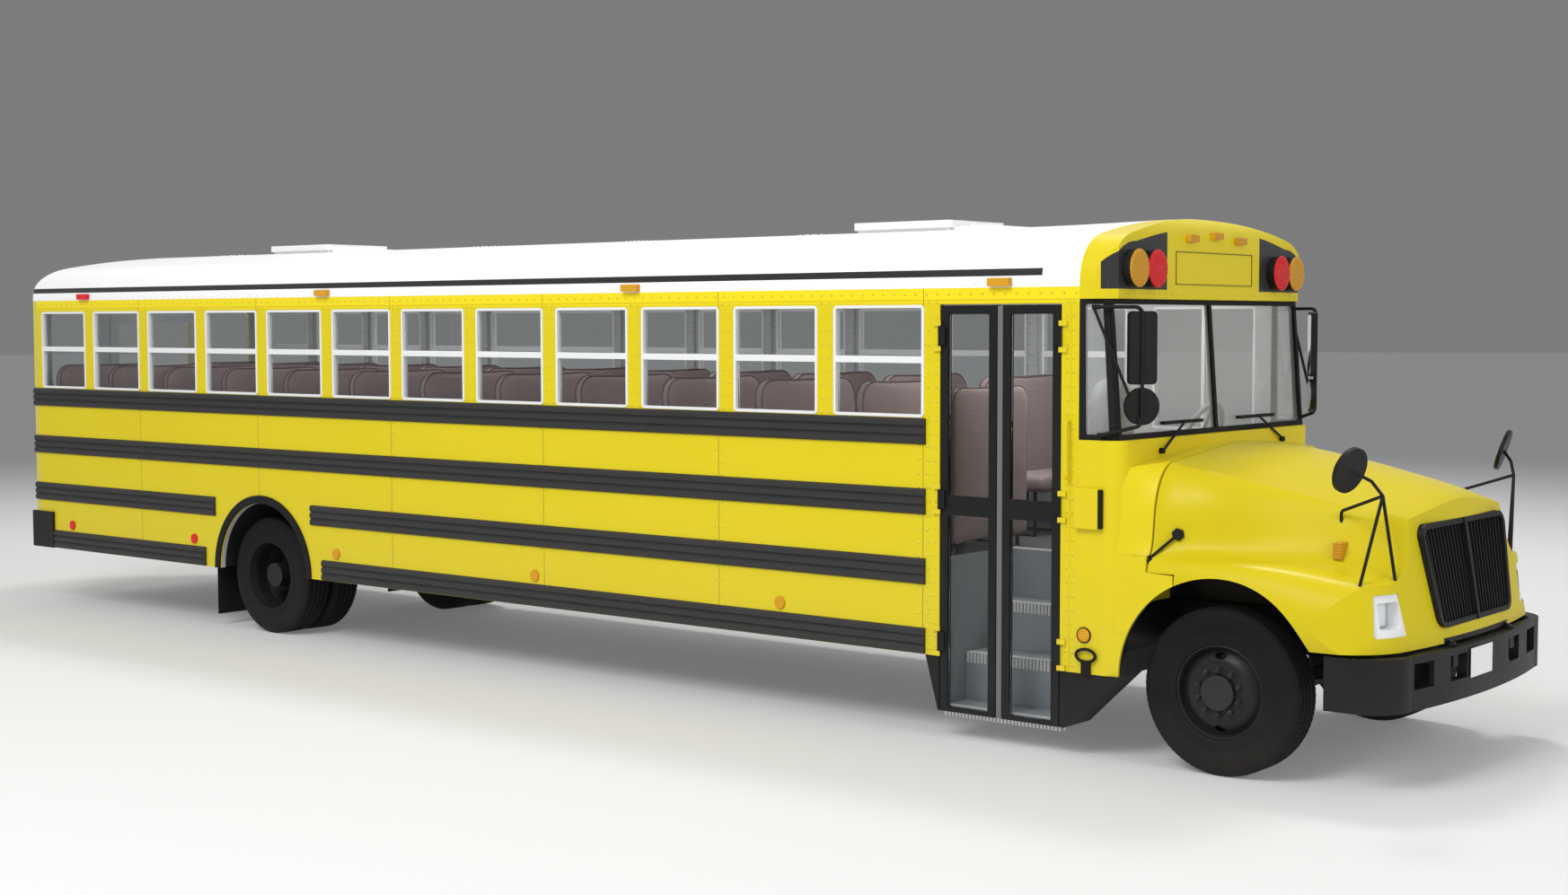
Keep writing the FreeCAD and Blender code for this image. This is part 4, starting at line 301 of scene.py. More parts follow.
def dustGroup():
    # road dust that thickens towards the ground
    tree, given = shaderGroup("roadDust", {
        "Color": (0.5, 0.5, 0.5, 1), "Dust": (0.32, 0.29, 0.25, 1), "Low": 0.2, "High": 1.2, "Amount": 0.2})
    spot = objectSpot(tree)
    fade = put(tree, "ShaderNodeMapRange", {
        "Value": axes(tree, spot)[2], "From Min": given["Low"], "From Max": given["High"],
        "To Min": 1.0, "To Max": 0.0})[0]
    mask = (noise(tree, spot, 4.0, 6.0) * fade).maths("MULTIPLY", given["Amount"], clamp=True)
    return handOut(tree, {"Color": mask.pick(given["Color"], given["Dust"])})


def skinGroup():
    # fine unevenness of a sprayed, moulded or rolled surface
    tree, given = shaderGroup("skinBump", {"Scale": 60.0, "Strength": 0.1, "Depth": 0.001})
    grain = noise(tree, objectSpot(tree), given["Scale"], 4.0)
    bump = {"Height": grain, "Strength": given["Strength"], "Distance": given["Depth"]}
    return handOut(tree, {"Normal": put(tree, "ShaderNodeBump", bump)[0]})


def weaveGroup():
    # close ribs across a seat cover, lighter on the rib tops in patches
    tree, given = shaderGroup("coverWeave", {
        "Color": (0.3, 0.2, 0.2, 1), "RibTopColor": (0.4, 0.3, 0.3, 1), "Ribs": 420.0})
    spot = objectSpot(tree)
    x, y, z = axes(tree, spot)
    up = (z * given["Ribs"]).maths("SINE")
    over = ((y + x) * given["Ribs"]).maths("SINE")
    height = up * 0.7 + over * 0.3
    tops = put(tree, "ShaderNodeMapRange", {"From Min": -1.0, "From Max": 1.0, "Value": height})[0]
    paleRibTops = noise(tree, spot, 5.0, 3.0).maths("MULTIPLY", tops, clamp=True)
    return handOut(tree, {"Color": paleRibTops.pick(given["Color"], given["RibTopColor"]), "Height": height})


def seamGroup():
    # upright sheet seams at a steady pitch along the bus
    tree, given = shaderGroup("panelSeams", {"Start": 0.0, "Pitch": 1.622, "Width": 0.004})
    run = (objectAxes(tree)[0] - given["Start"]) / given["Pitch"]
    near = abs(run - run.maths("ROUND")) * given["Pitch"]
    return handOut(tree, {"Mask": near < given["Width"]})


groups = {
    "tone": toneGroup(), "dust": dustGroup(), "skin": skinGroup(), "weave": weaveGroup(),
    "seams": seamGroup(),
}


def useGroup(tree, key, inputs):
    return byName(tree, put(tree, "ShaderNodeGroup", inputs, node_tree=groups[key]))


def newMaterial(name):
    material = bpy.data.materials.new(name)
    material.use_nodes = True
    materials[name] = material
    return material, material.node_tree, material.node_tree.nodes["Principled BSDF"].inputs


def fill(tree, surface, values):
    for label, value in values.items():
        feed(tree, surface[label], value)


def finish(name, color, tone, dust=None, skin=None, painter=None, gloss=None):
    # a painted, moulded or cast finish; a painter lays other colours over the plain one first
    material, tree, surface = newMaterial(name)
    rough, mottle, spread, scale = tone
    first = painter(tree) if painter else (*color, 1)
    toned = useGroup(tree, "tone", {
        "Color": first, "Mottle": mottle, "Scale": scale, "Roughness": rough, "Spread": spread})
    if dust:
        low, high, amount = dust
        dusty = {"Color": toned["Color"], "Low": low, "High": high, "Amount": amount}
        toned["Color"] = useGroup(tree, "dust", dusty)["Color"]
    fill(tree, surface, {"Base Color": toned["Color"], "Roughness": toned["Roughness"]})
    if skin:
        grain, strength, depth = skin
        bump = useGroup(tree, "skin", {"Scale": grain, "Strength": strength, "Depth": depth})
        fill(tree, surface, bump)
    fill(tree, surface, gloss or {})
    material.diffuse_color = (*color, 1)
    return tree, surface


# header is the wall yellow painted brighter, as light falling on the top of the wall
# hood is the wall yellow painted darker, as shade on the hood
paint = {
    "yellow": (0.76, 0.615, 0.010), "header": (0.92, 0.745, 0.012), "hood": (0.66, 0.535, 0.010),
    "white": (1.0, 1.0, 1.0), "black": (0.009, 0.009, 0.0095), "panelBlack": (0.036, 0.036, 0.037),
    "inside": (0.48, 0.49, 0.50), "seamDark": (0.30, 0.20, 0.01),
}
panel = {
    "wall": 0.045, "sheet": 0.012, "rearSheet": 0.03, "halfWidth": 1.219, "seamStart": 1.625,
    "seamPitch": 1.622, "seamCount": 6, "seamWidth": 0.0025, "headerLow": 2.6, "bandLow": 2.751,
    "bandHigh": 2.793, "bandEnd": 10.56, "liningSide": 1.19, "turnedAway": -0.05, "hatchLow": 3.0,
}
arch = {
    "x": 11.664, "z": 0.465, "hoodRadius": 0.6035, "cowlRadius": 0.72, "edge": 1.185, "top": 1.25,
    "earTop": 0.775, "earSide": 0.47,
}
capField = {
    "corner": 0.939, "cornerZ": 2.70, "wide": 0.30, "tall": 0.243, "crownDrop": 1.4, "crown": 4.443,
    "start": 0.585, "low": 2.670, "x": 10.933,
}
black, white, yellow, inside = ((*paint[key], 1) for key in ("black", "white", "yellow", "inside"))


def sideColor(tree):
    # yellow outside with its sheet seams and a header painted brighter, as light falling on the top of the
    # wall, pale grey inside
    x, y, z = objectAxes(tree)
    seam = useGroup(tree, "seams", {
        "Start": rearX + panel["seamStart"], "Pitch": panel["seamPitch"], "Width": panel["seamWidth"]})
    # painted light: the header above the windows is lit brighter than the wall below
    sheet = (z > panel["headerLow"]).pick(yellow, (*paint["header"], 1))
    outside = seam["Mask"].pick(sheet, (*paint["seamDark"], 1))
    return (abs(y) < panel["halfWidth"] - panel["sheet"]).pick(outside, inside)


def rearColor(tree):
    return (objectAxes(tree)[0] > rearX + panel["rearSheet"]).pick(yellow, inside)


def innerBlack(tree, radius):
    # the wheel arches and the inboard faces of the shell, apart from a thin outer edge
    x, y, z = objectAxes(tree)
    near = (x - (rearX + arch["x"])) ** 2.0 + (z - arch["z"]) ** 2.0 < radius ** 2
    inboard = facing(tree)[1] * y < panel["turnedAway"]
    return (near * (abs(y) < arch["edge"])).maths("MAXIMUM", inboard * (z < arch["top"]))


def cowlColor(tree):
    return innerBlack(tree, arch["cowlRadius"]).pick(yellow, black)


def hoodColor(tree):
    # the hinge ears under the nose are black, and so is the inside; the rest is the wall yellow painted
    # darker, as shade on the hood
    x, y, z = objectAxes(tree)
    ears = (z < arch["earTop"]) * (abs(y) < arch["earSide"])
    return ears.maths("MAXIMUM", innerBlack(tree, arch["hoodRadius"])).pick((*paint["hood"], 1), black)


def capColor(tree):
    # black fields behind the warning lamps, carried round the shoulders of the yellow cap
    f = capField
    x, y, z = objectAxes(tree)
    across = abs(y)
    crown = across ** 2.0 + (z + f["crownDrop"]) ** 2.0
    inner = (across < f["corner"]) * (crown < f["crown"] ** 2)
    rise = (z - f["cornerZ"]).maths("MAXIMUM", 0.0)
    shoulder = ((across - f["corner"]) / f["wide"]) ** 2.0 + (rise / f["tall"]) ** 2.0
    outer = (across > f["corner"] - 0.0001) * (shoulder < 1.0)
    field = inner.maths("ADD", outer, clamp=True) * (across > f["start"]) * (z > f["low"])
    return (field * (x > rearX + f["x"])).pick(yellow, (*paint["panelBlack"], 1))


def hingeColor(tree):
    # barrels on the walls take the wall's yellow, those of the roof hatches the roof's white
    return (objectAxes(tree)[2] > panel["hatchLow"]).pick(yellow, white)


def roofColor(tree):
    # white shell with a black band along both sides, and a pale lining under it
    x, y, z = objectAxes(tree)
    band = (z > panel["bandLow"]) * (z < panel["bandHigh"]) * (x < rearX + panel["bandEnd"])
    lining = (facing(tree)[2] < panel["turnedAway"]) * (abs(y) < panel["liningSide"])
    return lining.pick(band.pick(white, black), inside)


def coat(weight, rough, level):
    return {"Coat Weight": weight, "Coat Roughness": rough, "Specular IOR Level": level}


def plainGloss(level):
    return {"Specular IOR Level": level}


def metal(share):
    return {"Metallic": share}


wallTone, noseTone = (0.32, 0.05, 0.08, 0.8), (0.34, 0.04, 0.06, 0.9)
wallDust, noseDust = (0.3, 1.3, 0.12), (0.3, 1.0, 0.1)
noseSkin = (9.0, 0.06, 0.003)
wallCoat, noseCoat = coat(0.05, 0.15, 0.22), coat(0.06, 0.15, 0.22)
# name, colour, (roughness, mottle, spread, scale), (dust low, high, amount), (skin grain, strength, depth)
finishes = [
    ("sideYellow", paint["yellow"], wallTone, wallDust, (14.0, 0.12, 0.004), sideColor, wallCoat),
    ("rearYellow", paint["yellow"], wallTone, wallDust, (14.0, 0.1, 0.003), rearColor, wallCoat),
    ("hoodYellow", paint["yellow"], noseTone, noseDust, noseSkin, None, noseCoat),
    # hood paint: painted shade, a darker copy of the wall yellow
    ("hoodShadedShell", paint["hood"], noseTone, noseDust, noseSkin, hoodColor, coat(0.03, 0.2, 0.12)),
    ("cowlPaint", paint["yellow"], noseTone, noseDust, noseSkin, cowlColor, noseCoat),
    ("capPaint", paint["yellow"], noseTone, None, noseSkin, capColor, noseCoat),
    ("hingePaint", paint["yellow"], (0.36, 0.05, 0.08, 3.0), None, (60.0, 0.08, 0.001), hingeColor),
    ("seamLine", (0.16, 0.12, 0.012), (0.5, 0.1, 0.1, 6.0), None, (60.0, 0.08, 0.001)),
    # rivet heads: the wall yellow painted slightly darker, as shade on the rivets
    ("rivetShadedYellow", (0.72, 0.58, 0.012), (0.35, 0.1, 0.1, 20.0), None, None, None, {"Coat Weight": 0.3}),
    ("roofWhite", paint["white"], (0.36, 0.03, 0.08, 0.7), None, (10.0, 0.08, 0.003), roofColor,
     {"Coat Weight": 0.15}),
    ("hatchWhite", (0.86, 0.86, 0.86), (0.42, 0.04, 0.1, 3.0), None, (40.0, 0.1, 0.001)),
    ("frameWhite", (0.84, 0.85, 0.86), (0.38, 0.05, 0.1, 6.0), None, (120.0, 0.08, 0.0006)),
    ("blackPaint", paint["black"], (0.5, 0.25, 0.2, 3.0), (0.2, 1.4, 0.05), (160.0, 0.15, 0.0006), None,
     plainGloss(0.2)),
    ("railBlack", (0.03, 0.03, 0.031), (0.5, 0.3, 0.25, 2.0), (0.3, 2.2, 0.06), (80.0, 0.15, 0.001), None,
     plainGloss(0.25)),
    ("blackRubber", paint["black"], (0.62, 0.25, 0.15, 6.0), None, (220.0, 0.2, 0.0005), None,
     plainGloss(0.2)),
    ("sealGrey", (0.15, 0.15, 0.155), (0.6, 0.12, 0.12, 8.0), None, (180.0, 0.2, 0.0006)),
    ("tyreRubber", (0.0055, 0.0055, 0.006), (0.7, 0.35, 0.2, 4.0), (0.0, 0.9, 0.08),
     (190.0, 0.25, 0.0008), None, plainGloss(0.16)),
    ("rimBlack", (0.010, 0.010, 0.011), (0.42, 0.3, 0.2, 5.0), (0.1, 1.0, 0.05), (110.0, 0.12, 0.0005),
     None, plainGloss(0.25)),
    ("hubPaint", (0.026, 0.026, 0.0275), (0.5, 0.15, 0.12, 9.0), (0.1, 1.0, 0.05), (110.0, 0.1, 0.0005),
     None, plainGloss(0.2)),
    ("wheelNut", (0.03, 0.03, 0.032), (0.35, 0.2, 0.15, 30.0), None, None, None, metal(0.6)),
    ("stepSteel", (0.34, 0.36, 0.385), (0.5, 0.2, 0.2, 5.0), None, (70.0, 0.2, 0.001)),
    ("stepNosing", (0.82, 0.82, 0.81), (0.45, 0.12, 0.15, 14.0), None, (160.0, 0.2, 0.0008)),
    ("nosingGap", (0.30, 0.30, 0.295), (0.55, 0.12, 0.15, 14.0), None, (160.0, 0.2, 0.0008)),
    ("floorRubber", (0.10, 0.10, 0.105), (0.62, 0.3, 0.2, 5.0), None, (90.0, 0.25, 0.001)),
    ("insideGrey", paint["inside"], (0.5, 0.06, 0.12, 4.0), None, (60.0, 0.12, 0.001)),
    ("dashPlastic", (0.10, 0.105, 0.11), (0.55, 0.15, 0.15, 8.0), None, (380.0, 0.35, 0.0006)),
    ("steeringGrey", (0.33, 0.33, 0.34), (0.42, 0.1, 0.1, 8.0), None, (300.0, 0.2, 0.0004)),
    ("seatPiping", (0.14, 0.105, 0.105), (0.6, 0.15, 0.1, 20.0)),
    ("engineIron", (0.07, 0.068, 0.066), (0.6, 0.4, 0.25, 8.0), None, (45.0, 0.4, 0.003), None, metal(0.3)),
    ("exhaustSteel", (0.2, 0.17, 0.14), (0.5, 0.45, 0.25, 5.0), None, (60.0, 0.3, 0.001), None, metal(0.7)),
    ("mirrorGlass", (0.82, 0.83, 0.84), (0.06, 0.03, 0.03, 4.0), None, None, None, metal(1.0)),
    ("lampBezel", (0.80, 0.81, 0.82), (0.25, 0.05, 0.1, 12.0), None, (60.0, 0.05, 0.0005), None,
     {"Coat Weight": 0.3}),
    ("blankPlate", (0.84, 0.84, 0.83), (0.4, 0.05, 0.1, 12.0), None, (120.0, 0.08, 0.0004)),
]
for row in finishes:
    finish(*row)


def glassFinish(name, color, through):
    # clear glass with a faint unevenness in its gloss
    finish(name, color, (0.02, 0.02, 0.02, 2.0), gloss={"Transmission Weight": through, "IOR": 1.2})


def lensFinish(name, color, deep):
    # moulded lens: fine ribs, with painted shade in their grooves
    tree, surface = finish(name, color, (0.24, 0.1, 0.08, 30.0), gloss=coat(0.12, 0.06, 0.25))
    x, y, z = objectAxes(tree)
    height = (y * lensRibs).maths("SINE") + (z * lensRibs).maths("SINE")
    bump = put(tree, "ShaderNodeBump", {"Strength": 0.5, "Distance": 0.002, "Height": height})[0]
    span = {"From Min": -2.0, "From Max": 2.0, "Value": height}
    shade = Value(tree, put(tree, "ShaderNodeMapRange", span)[0])
    fill(tree, surface, {"Normal": bump, "Base Color": shade.pick((*deep, 1), (*color, 1))})


def coverFinish(name, color, paleRibTops, ribs):
    # ribbed seat cover
    material, tree, surface = newMaterial(name)
    weave = useGroup(tree, "weave", {"Color": (*color, 1), "RibTopColor": (*paleRibTops, 1), "Ribs": ribs})
    tone = useGroup(tree, "tone", {
        "Color": weave["Color"], "Mottle": 0.25, "Scale": 3.0, "Roughness": 0.72, "Spread": 0.15})
    bump = put(tree, "ShaderNodeBump", {"Strength": 0.5, "Distance": 0.0015, "Height": weave["Height"]})[0]
    fill(tree, surface, {
        "Base Color": tone["Color"], "Roughness": tone["Roughness"], "Normal": bump, "Sheen Weight": 0.2})


lensRibs = 520.0
glassFinish("windowGlass", (0.90, 0.92, 0.925), 1.0)
glassFinish("screenGlass", (0.93, 0.94, 0.95), 0.84)
# the second colour of each lens is the painted shade in its grooves
lensFinish("amberLens", (0.80, 0.40, 0.012), (0.50, 0.21, 0.005))
lensFinish("redLens", (0.88, 0.008, 0.014), (0.52, 0.004, 0.008))
coverFinish("seatCover", (0.27, 0.20, 0.20), (0.38, 0.30, 0.30), 520.0)
coverFinish("driverCover", (0.17, 0.17, 0.175), (0.27, 0.27, 0.28), 700.0)

dressing = {
    "sideYellow": ["side_wall_right", "side_wall_left"],
    "rearYellow": ["rear_wall", "emergency_door"],
    "hoodShadedShell": ["hood"],
    "cowlPaint": ["cowl"],
    "hoodYellow": ["grab_rail"],
    "capPaint": ["front_cap"],
    "hingePaint": ["hinges"],
    "roofWhite": ["roof"],
    "hatchWhite": ["hatch_front", "hatch_rear"],
    "frameWhite": ["window_frames"],
    "blackPaint": [
        "front_bumper", "rear_bumper", "frame_rails", "front_axle", "rear_axle", "knuckle_right",
        "knuckle_left", "fuel_tank", "step_skirt", "door_front_leaf", "door_rear_leaf", "stop_arm_base",
        "wheel_wells", "grille", "side_mirrors", "hood_mirrors",
    ],
    "railBlack": ["rub_rails"],
    "blackRubber": ["windshield_frame", "arch_trims"],
    "sealGrey": ["door_seal"],
    "screenGlass": ["windshield_glass"],
    "windowGlass": ["side_glass", "door_front_glass", "door_rear_glass", "emergency_glass"],
    "stepSteel": ["stepwell"],
    "floorRubber": ["floor"],
    "dashPlastic": ["dashboard"],
    "engineIron": ["engine", "radiator"],
    "exhaustSteel": ["exhaust"],
    "amberLens": ["amber_lamps", "turn_signals"],
    "redLens": ["red_lamps", "stop_arm"],
    "lampBezel": ["headlamps"],
    "rimBlack": ["wheel_front_right", "wheel_front_left", "wheels_rear_right", "wheels_rear_left"],
    "tyreRubber": ["tyre_front_right", "tyre_front_left", "tyres_rear_right", "tyres_rear_left"],
}
for finishName, nodeNames in dressing.items():
    for nodeName in nodeNames:
        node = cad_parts[nodeName]
        node.data.materials.clear()
        node.data.materials.append(materials[finishName])
        for slot in node.material_slots:
            slot.material = materials[finishName]
print("materials:", len(materials))


# geometry node trees


def geometryTree(name, inputs):
    tree = bpy.data.node_groups.new(name, "GeometryNodeTree")
    tree.interface.new_socket("Geometry", in_out="INPUT", socket_type="NodeSocketGeometry")
    for label, kind in inputs.items():
        tree.interface.new_socket(label, in_out="INPUT", socket_type="NodeSocket" + kind)
    tree.interface.new_socket("Geometry", in_out="OUTPUT", socket_type="NodeSocketGeometry")
    return tree, tree.nodes.new("NodeGroupInput").outputs


def madeReal(tree, copies, material):
    # turns the copies into plain mesh with one finish and hands them out
    real = put(tree, "GeometryNodeRealizeInstances", {"Geometry": copies})
    painted = put(tree, "GeometryNodeSetMaterial", {"Geometry": real[0], "Material": material})
    tree.links.new(painted[0], tree.nodes.new("NodeGroupOutput").inputs[0])
    return tree


def rivetTree():
    # domed heads along the edges of a mesh
    tree, given = geometryTree("rivetRows", {"Spacing": "Float", "Radius": "Float", "Material": "Material"})
    path = put(tree, "GeometryNodeMeshToCurve", {"Mesh": given["Geometry"]})[0]
    step = {"Curve": path, "Length": given["Spacing"]}
    spaced = put(tree, "GeometryNodeResampleCurve", step, mode="LENGTH")[0]
    head = put(tree, "GeometryNodeMeshUVSphere", {"Segments": 8, "Rings": 5, "Radius": given["Radius"]})
    heads = put(tree, "GeometryNodeInstanceOnPoints", {"Points": spaced, "Instance": head[0]})
    return madeReal(tree, heads[0], given["Material"])


def ringTree():
    # copies of the incoming piece turned about the axle
    tree, given = geometryTree("turnedCopies", {"Count": "Int", "Centre": "Vector", "Material": "Material"})
    points = put(tree, "GeometryNodeMeshLine", {"Offset": (0, 0, 0), "Count": given["Count"]})[0]
    index = Value(tree, put(tree, "GeometryNodeInputIndex")[0])
    turn = put(tree, "ShaderNodeCombineXYZ", {1: index / given["Count"] * (2 * math.pi)})[0]
    copies = put(tree, "GeometryNodeInstanceOnPoints", {
        "Points": points, "Instance": given["Geometry"], "Rotation": turn})
    moved = put(tree, "GeometryNodeTranslateInstances", {
        "Instances": copies[0], "Translation": given["Centre"], "Local Space": False})
    return madeReal(tree, moved[0], given["Material"])


def ribTree():
    # straight ribs repeated at a steady step
    tree, given = geometryTree("steppedRibs", {"Count": "Int", "Step": "Vector", "Material": "Material"})
    points = put(tree, "GeometryNodeMeshLine", {"Count": given["Count"], "Offset": given["Step"]})[0]
    copies = put(tree, "GeometryNodeInstanceOnPoints", {"Points": points, "Instance": given["Geometry"]})
    return madeReal(tree, copies[0], given["Material"])


trees = {"rivets": rivetTree(), "ring": ringTree(), "ribs": ribTree()}


def runTree(obj, key, material, values):
    modifier = obj.modifiers.new(key, "NODES")
    modifier.node_group = trees[key]
    values["Material"] = materials[material]
    for item in trees[key].interface.items_tree:
        if item.in_out == "INPUT" and item.name in values:
            modifier[item.identifier] = values[item.name]
    settle(obj)


def rivetRows(name, rows, spacing, radius, material, body):
    verts, edges = [], []
    for row in rows:
        start = len(verts)
        verts += row
        edges += [(start + i, start + i + 1) for i in range(len(row) - 1)]
    obj = meshObject(name, verts, [], edges=edges)
    runTree(obj, "rivets", material, {"Spacing": spacing, "Radius": radius})
    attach(obj, body)


def turned(name, part, count, centre, material, body):
    obj = meshObject(name, *part, material)
    runTree(obj, "ring", material, {"Count": count, "Centre": tuple(centre)})
    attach(obj, body)


# rivets and sheet edges on the outside

sideY = 1.219
windows = {"first": 0.135, "pitch": 0.811, "width": 0.684, "count": 12, "sill": 1.93, "head": 2.60}
doorPosts = {"front": (10.733, 10.775), "rear": (9.785, 9.828), "low": 0.53, "rearTop": 1.90}
rivets = {
    "radius": 0.0105, "spacing": 0.079, "sink": 0.004, "headerRow": (0.06, 10.79, 2.650), "first": 0.045,
    "beside": 0.030, "columnIn": 0.033, "columnEnd": {-1: 9.86, 1: 9.90}, "wheelAt": 3.28,
    "wheelClear": 0.63, "panelEnd": 9.8, "clearBands": [(0.655, 0.905), (1.08, 1.325), (1.50, 1.745)],
}


def column(x, y, low, high):
    return [at(x, y, low), at(x, y, high)]


def sideRivets():
    rows = []
    start, end, headerZ = rivets["headerRow"]
    for side in (-1, 1):
        y = side * (sideY - rivets["sink"])
        rows.append([at(start, y, headerZ), at(end, y, headerZ)])
        columns = [rivets["first"], windows["first"] - rivets["beside"]]
        for i in range(windows["count"]):
            left = windows["first"] + i * windows["pitch"]
            columns.append(left + windows["width"] + rivets["columnIn"])
            columns.append(left + windows["pitch"] - rivets["columnIn"])
        columns = [x for x in columns if x < rivets["columnEnd"][side]]
        rows += [column(x, y, windows["sill"], windows["head"]) for x in columns]
        for i in range(panel["seamCount"]):
            seam = panel["seamStart"] + i * panel["seamPitch"]
            for x in (seam - rivets["beside"], seam + rivets["beside"]):
                if abs(x - rivets["wheelAt"]) > rivets["wheelClear"] and x < rivets["panelEnd"]:
                    rows += [column(x, y, low, high) for low, high in rivets["clearBands"]]
    y = rivets["sink"] - sideY
    rows += [column(x, y, doorPosts["low"], windows["head"]) for x in doorPosts["front"]]
    rows += [column(x, y, doorPosts["low"], doorPosts["rearTop"]) for x in doorPosts["rear"]]
    rivetRows("sideRivets", rows, rivets["spacing"], rivets["radius"], "rivetShadedYellow", "body")


sideRivets()

lip = {
    "out": 0.003, "in": 0.001, "header": (0.01, 10.80, 2.612, 2.6185),
    "post": (10.7515, 10.757, 0.50, 2.61),
}


def headerEdge():
    # raised lip of the header sheet over the windows, and of the door posts
    parts = []
    for side, key in ((-1, "header"), (1, "header"), (-1, "post")):
        x0, x1, z0, z1 = lip[key]
        inner, outer = side * (sideY - lip["in"]), side * (sideY + lip["out"])
        parts.append(boxPart(at(x0, inner, z0), at(x1, outer, z1)))
    obj = joined("headerEdge", parts, "hoodYellow")
    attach(obj, "body")


headerEdge()

roofForm = {
    "big": 4.5, "small": 0.28, "crown": 3.085, "sink": 0.003, "clear": 0.012, "cornerSteps": 7,
    "crownSteps": 8, "joints": (1.625, 3.247, 4.869, 6.491, 8.113, 9.72), "beside": 0.022,
    "edgeRow": (0.10, 10.79, 2.705), "spacing": 0.085, "radius": 0.009,
}


def roofPath(station):
    # the roof's section as points from the right side over the top to the left, above the black band
    big, small = roofForm["big"], roofForm["small"]
    centreZ = roofForm["crown"] - big
    cornerY = sideY - small
    cornerZ = centreZ + math.sqrt((big - small) ** 2 - cornerY ** 2)
    lean = math.atan2(cornerY, cornerZ - centreZ)
    small -= roofForm["sink"]
    big -= roofForm["sink"]
    points = []
    for i in range(roofForm["cornerSteps"] + 1):
        a = (math.pi / 2 - lean) * i / roofForm["cornerSteps"]
        points.append((cornerY + small * math.cos(a), cornerZ + small * math.sin(a)))
    for i in range(1, roofForm["crownSteps"] + 1):
        a = lean * (1 - i / roofForm["crownSteps"])
        points.append((big * math.sin(a), centreZ + big * math.cos(a)))
    points = [(y, z) for y, z in points if z > panel["bandHigh"] + roofForm["clear"]]
    return [at(station, -y, z) for y, z in points] + [at(station, y, z) for y, z in reversed(points[:-1])]


def roofRivets():
    rows = []
    for joint in roofForm["joints"]:
        rows += [roofPath(joint - roofForm["beside"]), roofPath(joint + roofForm["beside"])]
    start, end, z = roofForm["edgeRow"]
    for y in (roofForm["sink"] - sideY, sideY - roofForm["sink"]):
        rows.append([at(start, y, z), at(end, y, z)])
    rivetRows("roofRivets", rows, roofForm["spacing"], roofForm["radius"], "hatchWhite", "body")


roofRivets()


# wheels: tread, nuts and hubs

track, twin = 1.028, 0.290
tyre = {
    "radius": 0.465, "half": 0.1275, "lip": 0.262, "flange": 0.1208, "crown": 0.12,
    "grooves": (-0.062, -0.022, 0.022, 0.062), "grooveHalf": 0.0055, "grooveDepth": 0.012, "edge": 0.094,
    "lugs": 84,
}
lug = {"half": 0.0135, "sink": 0.004, "rise": 0.0012, "taper": 0.0015, "slant": 0.006, "clear": 0.001}


def axleOf(node):
    low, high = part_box(node)
    return (low[0] + high[0]) / 2, (low[2] + high[2]) / 2


def tyreSection():
    # from the inner bead over the tread to the outer bead, as (radius, across)
    w, lip, flange = tyre["half"], tyre["lip"], tyre["flange"]
    half = [
        (0.288, 0.80 * w), (0.3, 0.87 * w), (0.3, flange), (lip, flange), (lip + 0.0005, flange + 0.002),
        (lip + 0.007, flange + 0.0033), (0.318, flange + 0.0036), (0.322, flange + 0.0022),
        (0.332, flange + 0.0022), (0.336, flange + 0.004), (0.381, 0.995 * w), (0.398, w),
        (0.402, 0.985 * w), (0.410, 0.985 * w), (0.414, 0.995 * w), (0.427, 0.97 * w), (0.441, 0.93 * w),
        (0.4555, 0.84 * w), (0.4625, 0.765 * w),
    ]
    tread = []
    for g in reversed(tyre["grooves"]):
        edge = tyre["radius"] - tyre["crown"] * g * g
        floor = edge - tyre["grooveDepth"]
        wide, narrow = tyre["grooveHalf"] + 0.002, tyre["grooveHalf"] - 0.001
        tread += [(edge, g + wide), (floor, g + narrow), (floor, g - narrow), (edge, g - wide)]
    return half + tread + [(a, -b) for a, b in reversed(half)]


def treadBlock(low, high, slant):
    # one sipe-edged lug proud of the carcass, at the top of the wheel
    verts = []
    for lift, taper in ((-lug["sink"], 0.0), (lug["rise"], lug["taper"])):
        for y, s in ((low, -1), (high, 1)):
            z = tyre["radius"] + lift - tyre["crown"] * y * y
            for x in (taper - lug["half"], lug["half"] - taper):
                verts.append((x + slant * s, y + s * taper * 0.5, z))
    faces = [(0, 2, 3, 1), (4, 5, 7, 6), (0, 1, 5, 4), (2, 6, 7, 3), (0, 4, 6, 2), (1, 3, 7, 5)]
    return verts, faces


def dressWheel(label, node, body, centres):
    x, z = axleOf(node)
    section = tyreSection()
    rings = [lathePart(section, (x, y, z), count=80, ring=True) for y in centres]
    carcass = shaped("tyre" + label, rings, "tyreRubber")
    smoothed(carcass, 32)
    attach(carcass, body)
    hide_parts(node)
    edges = (-tyre["edge"], *tyre["grooves"], tyre["edge"])
    gap = tyre["grooveHalf"] + lug["clear"]
    blocks = []
    for k, (low, high) in enumerate(zip(edges, edges[1:])):
        low += gap if k else 0
        high -= gap if k < len(tyre["grooves"]) else 0
        blocks.append(treadBlock(low, high, lug["slant"] * (1 if k % 2 else -1)))
    for n, y in enumerate(centres):
        turned(f"tread{label}{n}", merged(blocks), tyre["lugs"], (x, y, z), "tyreRubber", body)


for label, side in (("Right", -1), ("Left", 1)):
    lower = label.lower()
    dressWheel("Front" + label, f"tyre_front_{lower}", f"front_wheel_{lower}", [side * track])
    pair = [side * track, side * (track - twin)]
    dressWheel("Rear" + label, f"tyres_rear_{lower}", f"rear_wheels_{lower}", pair)


wheelFace = {
    "hub": 0.0985, "hubOut": 0.148, "plateOut": 0.1215, "frontCircle": 0.1265, "rearCircle": 0.143,
    "holeAt": 0.2, "holeLong": 0.036, "holeHigh": 0.019, "holeDepth": (0.055, 0.16),
    "nut": [
        (0.0215, 0.0), (0.0215, 0.005), (0.0175, 0.006), (0.0172, 0.022), (0.012, 0.026), (0.0105, 0.034),
        (0.006, 0.036),
    ],
}


